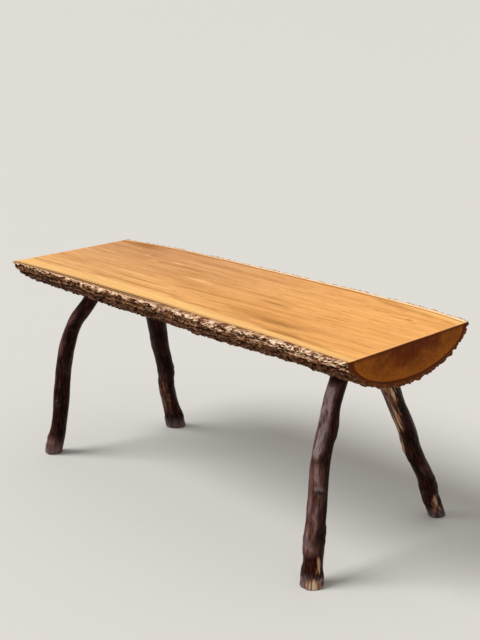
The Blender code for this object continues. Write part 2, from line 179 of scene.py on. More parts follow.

# Each leg repeats its branch: end and side, the place of its mouth, splay, lean, diameters, crooks and knots.
# A crook is a share of the drop and how far the branch strays along X and Y there. A knot is a share of the
# drop, a heading in degrees from +X, its height and its width. Bare patches, where the skin is worn through
# by rubbing or stripped to the wood, are a first and last share of the drop, a heading, half the angle that
# they cover and how bare they are. Sheen patches are given alike: painted sheen that stands for the varnish's
# highlight, and at the feet grey skin worn by rubbing.
LEGS = {
    "front_left": {
        "end": -1, "side": -1, "inset": 0.170, "across": 0.069,
        "splay": (0.091, 0.070), "lean": (0.60, 0.34), "neck": 0.033, "shaft": 0.0355, "fade": 0.42,
        "crooks": [
            (0.16, 0.0275, 0.009), (0.30, 0.0325, 0.0125), (0.47, 0.0262, 0.012),
            (0.66, 0.0095, 0.0075), (0.85, 0.0, 0.0025),
        ],
        "knots": [
            (0.46, 48, 0.003, 0.040), (0.30, 140, 0.005, 0.018),
            (0.66, 300, 0.004, 0.016), (0.92, 228, 0.006, 0.017),
        ],
        "bare": [(0.40, 0.72, 300, 30, 0.35)],
        "rubbed_and_sheen": [(0.05, 0.40, 250, 40, 0.7), (0.86, 1.05, 300, 90, 1.0), (0.46, 0.62, 240, 30, 0.5)],
    },
    "back_left": {
        "end": -1, "side": 1, "inset": 0.206, "across": 0.072,
        "splay": (0.056, 0.100), "lean": (0.17, 0.27), "neck": 0.048, "shaft": 0.038, "fade": 0.50,
        "crooks": [
            (0.40, 0.0045, 0.002), (0.52, 0.0025, 0.002), (0.67, 0.0100, 0.002), (0.88, 0.0045, 0.001),
        ],
        "knots": [
            (0.57, 48, 0.005, 0.022), (0.96, 48, 0.008, 0.022),
            (0.36, 200, 0.004, 0.020), (0.76, 300, 0.004, 0.016), (0.98, 228, 0.005, 0.017),
        ],
        "bare": [(0.60, 0.97, 310, 45, 0.50)],
        "rubbed_and_sheen": [(0.55, 0.92, 290, 40, 0.4), (0.93, 1.05, 0, 60, 0.7)],
    },
    "front_right": {
        "end": 1, "side": -1, "inset": 0.096, "across": 0.081,
        "splay": (0.010, 0.084), "lean": (-0.16, 0.22), "neck": 0.034, "shaft": 0.0365, "fade": 0.42,
        "crooks": [
            (0.13, -0.0098, 0.0), (0.26, -0.0128, 0.0005), (0.40, -0.0176, 0.001),
            (0.55, -0.0134, 0.001), (0.78, -0.0075, 0.001),
        ],
        "knots": [
            (0.27, 48, 0.004, 0.016), (0.53, 318, 0.004, 0.018), (0.79, 228, 0.003, 0.016),
            (0.77, 48, 0.004, 0.014), (0.97, 20, 0.006, 0.018), (0.97, 205, 0.006, 0.018),
        ],
        "bare": [(0.920, 1.06, 330, 58, 1.3), (0.82, 0.95, 345, 14, 1.5)],
        "rubbed_and_sheen": [(0.0, 0.42, 272, 46, 1.45), (0.36, 0.86, 288, 52, 0.92), (0.93, 1.06, 250, 45, 0.8)],
    },
    "back_right": {
        "end": 1, "side": 1, "inset": 0.121, "across": 0.059,
        "splay": (0.003, 0.173), "lean": (0.015, 0.46), "neck": 0.041, "shaft": 0.034, "fade": 0.26,
        "crooks": [
            (0.25, -0.0015, 0.001), (0.44, 0.0005, 0.002), (0.55, -0.0034, 0.0025),
            (0.76, 0.0030, 0.0025), (0.90, 0.0, 0.0015),
        ],
        "knots": [
            (0.52, 228, 0.004, 0.022), (0.76, 48, 0.004, 0.018),
            (0.83, 300, 0.004, 0.016), (0.35, 100, 0.004, 0.016), (0.86, 228, 0.004, 0.026),
        ],
        "bare": [
            (-0.05, 0.27, 322, 24, 0.95), (0.10, 0.45, 290, 22, 0.95), (0.28, 0.60, 255, 20, 0.85),
            (0.80, 0.99, 345, 26, 0.82), (0.84, 1.00, 303, 16, 1.05), (-0.05, 0.36, 316, 42, 0.66),
        ],
        "rubbed_and_sheen": [(-0.05, 0.40, 265, 50, 0.9), (0.62, 0.75, 340, 30, 0.5)],
    },
}

# Marks on the flat of the seat: X and Y from the middle of the log, half length, half width, and how dark
# they are, or how pale if less than none
SEAT_MARKS = [
    (0.240, -0.070, 0.260, 0.055, 0.20), (-0.020, 0.020, 0.220, 0.050, 0.14),
    (0.428, 0.103, 0.010, 0.004, 0.8), (0.400, 0.101, 0.030, 0.002, 0.8), (0.264, -0.081, 0.085, 0.013, 0.8),
    (0.320, -0.122, 0.075, 0.007, 0.8), (0.166, 0.008, 0.055, 0.006, 0.8),
    (-0.187, -0.057, 0.110, 0.004, 0.8), (-0.425, 0.150, 0.060, 0.020, 0.8),
    (-0.355, 0.095, 0.014, 0.004, -0.6), (-0.234, 0.089, 0.030, 0.007, -0.6),
    (-0.080, 0.025, 0.048, 0.009, -0.6), (-0.300, 0.070, 0.022, 0.005, -0.6),
]

# Wedges
RIVEN_FIBRES = (0.0012, 0.0012, 0.015)  # sizes of the riven wood's fibres

# Stage
FLOOR_SIZE = 150.0
FLOOR_MOTTLE = 0.02
LAMP_ANGLE = math.radians(32)
LAMP_PLACE = (-1.3, -1.7, 2.9)
LAMP_AIM = (0, 0, 0.35)
CAMERA_FOCUS = 1240.0  # focal length in pixels of a picture that is 640 pixels high
PICTURE_HEIGHT = 640
SENSOR = 36.0
CAMERA_PLACE = (1.8766, -1.6086, 1.1057)  # from the floor under the middle of the log
CAMERA_YAW = math.radians(-48.32)
CAMERA_PITCH = math.radians(16.32)
CAMERA_ROLL = math.radians(-1.30)

# Facets
BARK_ALONG = 540
BARK_AROUND = 156
BARK_CROWD = 0.5  # how much closer the facets lie at the rims
BARK_LINING = 4  # facets of the bark's outside for each of its lining
SLAB_ALONG = 220
SLAB_ACROSS = 72
SLAB_DOWN = 16
ROUND_STEPS = 40
BRANCH_SIDES = 44
BRANCH_STEP = 0.0035
FLAKE_SIDES = 8
WELD = 0.00001
SEAT_SHARP = math.radians(35)  # edges that are sharper than this aren't shaded round
BARK_SHARP = math.radians(60)
BRANCH_SHARP = math.radians(50)
NODE_PREFIXES = ("ShaderNode", "GeometryNode", "FunctionNode", "Node")


def linear(hex_colour):
    """An sRGB hex colour as linear red, green, blue and alpha."""
    parts = [int(hex_colour[start:start + 2], 16) / 255 for start in (1, 3, 5)]
    return [part / 12.92 if part <= 0.04045 else ((part + 0.055) / 1.055) ** 2.4 for part in parts] + [1.0]


def colour(name, description, hex_colour):
    """A colour that a user may change."""
    return FloatVectorProperty(
        name=name, description=description, subtype="COLOR", size=4, min=0.0, max=1.0,
        default=linear(hex_colour),
    )


def length(name, description, metres):
    """A length that a user may change."""
    return FloatProperty(
        name=name, description=description, default=metres, min=0.0, precision=4, unit="LENGTH",
        subtype="DISTANCE",
    )


def share(name, description, value):
    """A share from 0 to 1 that a user may change."""
    return FloatProperty(
        name=name, description=description, default=value, min=0.0, max=1.0, subtype="FACTOR",
    )


def amount(name, description, value):
    """A plain number that a user may change."""
    return FloatProperty(name=name, description=description, default=value, min=0.0)


class SeatLook(bpy.types.PropertyGroup):
    """Sizes and colours of the varnished seat."""

    arris: length("Eased arris", "Radius worn on the sawn ends' top edges", 0.0016)
    plane_wave: length("Plane waves", "Height of the waves that a hand plane left", 0.0003)
    check_depth: length("Check", "Depth of the drying crack in the right end", 0.003)
    check_width: length("Check width", "Width of the drying crack at the surface", 0.0005)
    gloss: share("Varnish roughness", "Roughness of the varnish on the flat", 0.36)
    heartwood: colour("Heartwood", "Amber heartwood under varnish", "#e6a769")
    pale_streak: colour("Pale streak", "Light streaks in the heartwood", "#f6be7e")
    dark_streak: colour("Dark streak", "Brown streaks in the heartwood", "#a1692f")
    tan: colour("Tan", "Pinker wood towards the back left", "#c88f63")
    orange: colour("Orange", "Warmer wood towards the right end", "#fcb158")
    sapwood: colour("Sapwood", "Pale yellow wood beside the bark", "#f9c67e")
    end_pale: colour("End grain, outer", "Golden end grain near the bark", "#a25b13")
    end_dark: colour("End grain, heart", "Brown end grain near the heart", "#672a02")
    bound: colour("Bound", "Brown line in the wood beside the bark", "#8e4e22")
    bast: colour("Bast", "Pale inner bark along the back edge", "#f6d3a6")
    # Painted highlight along the top facet of each eased arris
    glint: colour("Glint", "Pale wood worn bare along the arris", "#f8bd82")
    # Also the painted shade inside the drying crack
    edge: colour("Arris", "Dark red varnish gathered on the arris", "#5c2406")


class BarkLook(bpy.types.PropertyGroup):
    """Sizes and colours of the bark."""

    plate_length: length("Plate length", "Length of a bark plate along the log", 0.034)
    plate_width: length("Plate width", "Width of a bark plate across the log", 0.0100)
    plate_height: length("Plate height", "Height of a plate above the cracks round it", 0.0022)
    flake_length: length("Flake length", "Length of a loose flake", 0.0095)
    flake_width: length("Flake width", "Width of a loose flake", 0.0040)
    flake_thickness: length("Flake thickness", "Thickness of a loose flake", 0.0015)
    step_height: length("Step height", "Height of the steps between layers of bark", 0.0018)
    grit: length("Grit", "Height of the bark's grit", 0.0018)
    flakes_per_area: amount("Flakes", "Loose flakes on each square metre", 12000.0)
    seed: IntProperty(name="Seed", description="Picks another pattern of plates and flakes", default=7)
    # Partly the cracks' own dark colour, partly painted shade in the bottoms of the furrows
    crack: colour("Crack", "Near-black bottoms of the cracks", "#0e0603")
    brown: colour("Brown", "Brown of the sheltered bark", "#643618")
    ridge: colour("Ridge", "Grey pink of the worn ridges", "#c08e62")
    rim: colour("Rim", "Cream bark along the worn rim", "#fae0c2")
    blush: colour("Blush", "Pink tan bark in the flaked rim", "#cf9a70")
    gap: colour("Gap", "Dark red brown between the flakes of the rim", "#43200f")
    russet: colour("Russet", "Red brown under the flakes of the rim", "#6b371e")
    # Painted shade: multiplied over the bark below the pale rim, the more so towards the left end
    shade: colour("Belly", "Tint of the sheltered bark lower down", "#7c4d30")
    moss: colour("Olive", "Olive tan of the oldest plates", "#6d5838")
    cut_dark: colour("Cut bark, dark", "Dark layers where the bark is sawn", "#40220c")
    cut_pale: colour("Cut bark, pale", "Tan layers where the bark is sawn", "#a87a48")
    cut_gold: colour("Cut bark, gold", "Golden brown patches of bark at the sawn ends", "#844612")
    cut_end: colour("Cut bark, ends", "Reddish brown bark at the sawn ends", "#5a2b0b")
    gloss: share("Varnish roughness", "Roughness of the varnish on the bark", 0.42)


class LegLook(bpy.types.PropertyGroup):
    """Sizes and colours of the branch legs and their wedges."""

    wrinkle: length("Wrinkles", "Height of the branch's lengthwise wrinkles", 0.0012)
    lump: length("Lumps", "Height of the branch's slow lumps", 0.0018)
    gloss: share("Varnish roughness", "Roughness of the varnish on the branches", 0.20)
    skin: colour("Skin", "Dark reddish brown branch", "#260b05")
    # Also the painted shade in the crease under a healed knot's lip
    dark: colour("Dark streak", "Near-black streaks in the skin", "#0a0302")
    # Also the first tone of the painted sheen, which greys the skin where the varnish would catch the light
    worn: colour("Worn skin", "Greyer, rubbed skin", "#745049")
    # Painted sheen: this grey stands for the varnish's highlight on the legs; it is also the grey of the dust
    # at the feet
    painted_sheen_and_dust: colour("Sheen", "Cool grey of the most rubbed skin", "#8a7879")
    red: colour("Red streak", "Red brown under the rubbed skin", "#521b11")
    bare: colour("Bare wood", "Tan wood where the skin is stripped", "#a67652")
    # Round the knots this pale is partly a painted highlight
    scuff: colour("Scuff", "Pale scuffs at the feet and knots", "#cdb79c")
    wedge: colour("Wedge", "Riven hardwood of the wedges", "#b98a58")


class StageLook(bpy.types.PropertyGroup):
    """The floor and the light."""

    floor: colour("Floor", "Plain pale floor", "#cfcdc9")
    sky: colour("Sky", "Pale light from all round", "#f5f2ec")
    key: amount("Key", "Strength of the soft main light", 2.7)
    low_fill: amount("Low fill", "Light from the horizon", 0.24)
    backdrop: amount("Backdrop", "Brightness of the sky in view", 0.74)
    high_fill: amount("High fill", "Light from overhead", 0.72)


# The log


def reach(x):
    """How far x lies from where the log swells the most, as a share of the way to that end."""
    return abs(x - BULGE_AT) / (SEAT_LENGTH / 2 - math.copysign(BULGE_AT, x - BULGE_AT))


def edges(x):
    """Front and back edges of the log, over the bark."""
    straight = (LEFT_WIDTH + (RIGHT_WIDTH - LEFT_WIDTH) * (x / SEAT_LENGTH + 0.5)) / 2
    return -straight - FRONT_BULGE * (1 - reach(x) ** 2), straight + BACK_BULGE * (1 - reach(x) ** 4)


def middle(x):
    """The log's middle line."""
    return sum(edges(x)) / 2


def half_width(x):
    """Half the log's width over the bark."""
    front, back = edges(x)
    return (back - front) / 2


def depth_below_heart(x):
    """Depth of the bark's lowest line below the widest part of the log."""
    return LOG_DEPTH * 2 * half_width(x) / RIGHT_WIDTH + HEART_RISE


def swell(x, across):
    """Slow swell of the log along its length."""
    return LOG_WAVE * noise.noise(Vector((x / LOG_WAVE_LENGTH, across, 0.0)))


def bent(part):
    """A cosine or sine, bent to the log's section."""
    return math.copysign(abs(part) ** SECTION_BEND, part)


def log_point(x, turn, edge_inset, belly_inset):
    """A point on the log: turn is 0 at the front edge, pi / 2 at the belly and pi at the back edge."""
    across, down = math.cos(turn), math.sin(turn)
    wide = half_width(x) + swell(x, across) - edge_inset
    deep = depth_below_heart(x) + swell(x, across) - belly_inset
    return Vector((x, middle(x) - wide * bent(across), SEAT_TOP + HEART_RISE - deep * bent(down)))


def furrow(x, turn):
    """Depth of the bark's furrows: long ridges that wander, part and close up again."""
    wander = noise.noise(Vector((x / WANDER_LENGTH, WANDERS_ACROSS * turn, WANDER_SLICE)))
    ridge = abs(math.sin(RIDGES * turn + math.pi * RIDGE_WANDER * wander))
    sunk = (1 + noise.noise(Vector((x / BREAK_LENGTH, BREAKS_ACROSS * turn, BREAK_SLICE)))) / 2
    return FURROW_DEPTH * (1 - ridge * (1 - BREAK_SHARE * sunk))


def bark_inset(x, turn):
    """How far the bark's surface lies below its highest ridges."""
    deep = furrow(x, turn)
    return deep, deep


def wood_inset(x, turn):
    """How far the wood lies below the bark's ridges."""
    front_rim = FRONT_RIM * (1 - reach(x) ** 2) * max(0.0, math.cos(turn)) ** 2
    return BARK_EDGE + front_rim, BARK_BELLY


def wood_room(x, turn):
    """The wood's surface with the clearance that the bark keeps to it."""
    edge, belly = wood_inset(x, turn)
    return edge - FIT, belly - FIT


def sawn_x(along, y):
    """X at a share of the way from the left saw cut to the right one, which are a little out of square."""
    left = -SEAT_LENGTH / 2 + math.tan(LEFT_SKEW) * y
    right = SEAT_LENGTH / 2 - math.tan(RIGHT_SKEW) * y
    return left + (right - left) * along


def on_log(along, around, inset):
    """A point of the half log: shares of the way from the left end and from the front rim to the back."""
    x = (along - 0.5) * SEAT_LENGTH
    deep = depth_below_heart(x) - inset(x, math.pi / 2)[1]
    rim = math.asin((HEART_RISE / deep) ** (SECTION_POWER / 2))
    turn = rim + (math.pi - 2 * rim) * around
    point = log_point(x, turn, *inset(x, turn))
    point.x = sawn_x(along, point.y)
    point.z = SEAT_TOP if around in (0, 1) else min(point.z, SEAT_TOP)
    return point, turn


# The joints and the branches


def bark_height(x, y):
    """Height of the bark's ridges on the round side."""
    part = (abs(y - middle(x)) / half_width(x)) ** SECTION_POWER
    fall = depth_below_heart(x) * max(0.0, 1 - part) ** (1 / SECTION_POWER)
    return SEAT_TOP + HEART_RISE - fall


def bark_normal(x, y):
    """Direction that the round side faces."""
    step = SLOPE_STEP
    along = (bark_height(x + step, y) - bark_height(x - step, y)) / (2 * step)
    across = (bark_height(x, y + step) - bark_height(x, y - step)) / (2 * step)
    return Vector((along, across, -1)).normalized()


def joint(leg):
    """Where a leg meets the log: its mouth, its axis, its shoulder's frame and its mortise's depth."""
    x = leg["end"] * (SEAT_LENGTH / 2 - leg["inset"])
    y = leg["side"] * leg["across"]
    mouth = Vector((x, y, bark_height(x, y)))
    axis = Vector((leg["end"] * leg["lean"][0], leg["side"] * leg["lean"][1], -1)).normalized()
    tilt = axis.angle(bark_normal(x, y))
    buried = (BARK_BELLY + SHOULDER_BURY) / math.cos(tilt) + leg["neck"] / 2 * math.tan(tilt)
    shoulder = mouth - axis * buried
    up = -axis
    right = (Vector((1, 0, 0)) - up * up.x).normalized()
    turned_frame = Matrix.Translation(shoulder) @ Matrix((right, up.cross(right), up)).transposed().to_4x4()
    highest_rim = (TENON_DIAMETER / 2 + FIT) * math.sin(axis.angle(Vector((0, 0, -1))))
    depth = (SEAT_TOP - SEAT_COVER - highest_rim - shoulder.z) / up.z
    foot = Vector((x + leg["end"] * leg["splay"][0], y + leg["side"] * leg["splay"][1], 0))
    return {
        "mouth": mouth, "axis": axis, "frame": turned_frame, "buried": buried, "depth": depth, "foot": foot,
    }


JOINTS = {name: joint(leg) for name, leg in LEGS.items()}


def footprint_middle():
    """The middle of the box round the seat and the feet, on the floor."""
    low = -max(LEFT_WIDTH, RIGHT_WIDTH) / 2
    high = edges(BULGE_AT)[1]
    for name, leg in LEGS.items():
        low = min(low, JOINTS[name]["foot"].y - leg["shaft"] / 2)
        high = max(high, JOINTS[name]["foot"].y + leg["shaft"] / 2)
    return Vector((0, (low + high) / 2, 0))


TO_ROW = Matrix.Translation(-footprint_middle())


def centre_line(leg, fitted):
    """Points down the branch: straight out of the log, through each crook and on below the floor."""
    mouth, axis, foot = fitted["mouth"], fitted["axis"], fitted["foot"]
    stations = [fitted["frame"].translation, mouth + axis * NECK_RUN]
    for down, out_x, out_y in leg["crooks"]:
        offset = Vector((leg["end"] * out_x, leg["side"] * out_y, 0))
        stations.append(mouth.lerp(foot, down) + offset)
    stations.append(foot)
    stations.append(foot + (foot - stations[-2]).normalized() * FOOT_WASTE)
    headings = [axis, axis]
    headings += [(after - before).normalized() for before, after in zip(stations[1:], stations[3:])]
    headings.append((stations[-1] - stations[-2]).normalized())
    points = [stations[0]]
    for k in range(len(stations) - 1):
        start, end = stations[k], stations[k + 1]
        span = (end - start).length
        leave = start + headings[k] * span / 3
        arrive = end - headings[k + 1] * span / 3
        count = max(2, round(span / BRANCH_STEP) + 1)
        points += interpolate_bezier(start, leave, arrive, end, count)[1:]
    return points


def smooth_share(value):
    """Eases a share between 0 and 1."""
    value = min(1.0, max(0.0, value))
    return value * value * (3 - 2 * value)


def shaft_radius(leg, fitted, point):
    """The branch's radius, from the neck in the log to the shaft."""
    top = (fitted["mouth"] + fitted["axis"] * NECK_RUN).z
    faded = smooth_share((top - point.z) / (top * leg["fade"]))
    return (leg["neck"] + (leg["shaft"] - leg["neck"]) * faded) / 2


# Meshes


def new_piece(name, mesh):
    """A mesh object in the scene, its place in its mesh."""
    piece = bpy.data.objects.new(name, mesh)
    bpy.context.scene.collection.objects.link(piece)
    return piece


@contextmanager
def editing(mesh):
    """Opens a mesh for edits and writes them back."""
    bm = bmesh.new()
    bm.from_mesh(mesh)
    yield bm
    bm.to_mesh(mesh)
    bm.free()


def outward(bm):
    """Merges doubles and turns the faces outward."""
    bmesh.ops.remove_doubles(bm, verts=bm.verts, dist=WELD)
    bmesh.ops.recalc_face_normals(bm, faces=bm.faces)


def sheet(rows):
    """Faces between rows of points."""
    return [
        (row[k], row[k + 1], following[k + 1], following[k])
        for row, following in zip(rows, rows[1:]) for k in range(len(row) - 1)
    ]


def mesh_from(name, points, lines, faces, marks):
    """A mesh from points, lines and faces, with a float or a vector attribute for each mark."""
    mesh = bpy.data.meshes.new(name)
    mesh.from_pydata(points, lines, faces)
    for mark, values in marks.items():
        vector = not isinstance(values[0], (int, float))
        attribute = mesh.attributes.new(mark, "FLOAT_VECTOR" if vector else "FLOAT", "POINT")
        flat = [part for value in values for part in value] if vector else values
        attribute.data.foreach_set("vector" if vector else "value", flat)
    if faces:
        with editing(mesh) as bm:
            outward(bm)
    return mesh


def settle(piece):
    """Turns what a piece's modifiers make into its plain mesh."""
    done = piece.evaluated_get(bpy.context.evaluated_depsgraph_get())
    mesh = bpy.data.meshes.new_from_object(done)
    piece.modifiers.clear()
    old = piece.data
    piece.data = mesh
    mesh.name = piece.name
    bpy.data.meshes.remove(old)


def trim_flaps(mesh):
    """Takes out pairs of faces that a cut left back to back."""
    with editing(mesh) as bm:
        bmesh.ops.triangulate(bm, faces=bm.faces)
        found = {}
        for face in bm.faces:
            found.setdefault(frozenset(face.verts), []).append(face)
        flaps = [face for same in found.values() if len(same) > 1 for face in same]
        bmesh.ops.delete(bm, geom=flaps, context="FACES")


def carve(piece, operation, tool_mesh):
    """Cuts a piece with a closed mesh, or joins the two."""
    tool = new_piece("tool", tool_mesh)
    step = piece.modifiers.new("carve", "BOOLEAN")
    step.operation = operation
    step.solver = "EXACT"
    step.object = tool
    settle(piece)
    trim_flaps(piece.data)
    bpy.data.objects.remove(tool, do_unlink=True)
    bpy.data.meshes.remove(tool_mesh)


def shade(piece, sharp):
    """Shades a piece round, apart from its sharp edges."""
    piece.data.shade_smooth()
    piece.data.set_sharp_from_angle(angle=sharp)


def finish_piece(piece, material, nodes):
    """Places a finished piece in the row's frame, on the bench's one body."""
    piece.data.transform(TO_ROW)
    piece.data.materials.clear()
    piece.data.materials.append(material)
    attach(piece, BODY)
    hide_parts(*nodes)


def plugs():
    """The four stepped mortises as closed plugs: a bore for the tenon over a counterbore for the neck."""
    mesh = bpy.data.meshes.new("plugs")
    bore = TENON_DIAMETER / 2 + FIT
    with editing(mesh) as bm:
        for name, leg in LEGS.items():
            fitted = JOINTS[name]
            counterbore = leg["neck"] / 2 + FIT
            below = -fitted["buried"] - PLUG_REACH
            profile = [
                (0, fitted["depth"]), (bore, fitted["depth"]), (bore, FIT),
                (counterbore, FIT), (counterbore, below), (0, below),
            ]
            line = [bm.verts.new((radius, 0, height)) for radius, height in profile]
            outline = [bm.edges.new(pair) for pair in zip(line, line[1:])]
            bmesh.ops.spin(
                bm, geom=line + outline, cent=(0, 0, 0), axis=(0, 0, 1), angle=math.tau, steps=ROUND_STEPS,
            )
            fresh = [vert for vert in bm.verts if not vert.tag]
            bmesh.ops.transform(bm, matrix=fitted["frame"], verts=fresh)
            for vert in fresh:
                vert.tag = True
        outward(bm)
    return mesh


# Nodes


def add(tree, kind, *inputs, stops=(), **settings):
    """Adds a node with its settings, its colour stops and its links. Inputs go to its sockets in order: None
    leaves a socket as it is, a dict names its sockets, and a node stands for its first output."""
    prefix = next(prefix for prefix in NODE_PREFIXES if hasattr(bpy.types, prefix + kind))
    node = tree.nodes.new(prefix + kind)
    for name, value in settings.items():
        setattr(node, name, value)
    if stops:
        ramp = node.color_ramp.elements
        while len(ramp) < len(stops):
            ramp.new(1.0)
        for stop, (position, tint) in zip(ramp, stops):
            stop.position = position
            stop.color = tint
    sockets = [socket for socket in node.inputs if socket.enabled]
    named = {socket.name: socket for socket in reversed(sockets)}
    given = []
    for socket, value in zip(sockets, inputs):
        if isinstance(value, dict):
            given += [(named[name], part) for name, part in value.items()]
        elif value is not None:
            given.append((socket, value))
    for socket, value in given:
        if isinstance(value, bpy.types.Node):
            value = next(output for output in value.outputs if output.enabled)
        if isinstance(value, bpy.types.NodeSocket):
            tree.links.new(value, socket)
        else:
            socket.default_value = value
    return node


def new_tree(name, sockets):
    """A geometry tree with a mesh in and out and named inputs, what adds its nodes, and those inputs."""
    tree = bpy.data.node_groups.new(name, "GeometryNodeTree")
    for label, kind in {"Geometry": "Geometry", **sockets, "Material": "Material"}.items():
        tree.interface.new_socket(label, in_out="INPUT", socket_type=f"NodeSocket{kind}")
    tree.interface.new_socket("Geometry", in_out="OUTPUT", socket_type="NodeSocketGeometry")
    put = partial(add, tree)
    return tree, put, {socket.name: socket for socket in put("GroupInput").outputs}


def end_tree(put, geometry, material):
    """Ends a geometry tree with plain geometry in one material."""
    plain = put("RealizeInstances", geometry)
    put("GroupOutput", put("SetMaterial", plain, None, material))


def run_tree(piece, tree, values):
    """Runs a geometry tree on a piece with its inputs set, and keeps the mesh that it makes."""
    modifier = piece.modifiers.new(tree.name, "NODES")
    modifier.node_group = tree
    for item in tree.interface.items_tree:
        if item.in_out == "INPUT" and item.name in values:
            modifier[item.identifier] = values[item.name]
    settle(piece)


def new_material(name):
    """An empty node material and what adds its nodes."""
    material = bpy.data.materials.new(name)
    material.use_nodes = True
    material.node_tree.nodes.clear()
    return material, partial(add, material.node_tree)


def end_material(put, tint, rough, shine, bump, height):
    """Ends a material with a shader whose bump stands as high as given."""
    relief = put("Bump", {"Strength": 1.0, "Distance": height, "Height": bump})
    put("OutputMaterial", put("BsdfPrincipled", {
        "Base Color": tint, "Roughness": rough, "Specular IOR Level": shine, "Normal": relief,
    }))


def tinted(put, base, layers):
    """A colour under layers of tints. Each layer is a pattern, its value where the tint starts, its value
    where the tint is full, how much of the tint covers there, and the tint."""
    for pattern, start, full, most, tint in layers:
        cover = put("MapRange", pattern, start, full, 0.0, most)
        base = put("Mix", cover, base, tint, data_type="RGBA")
    return base


# Materials


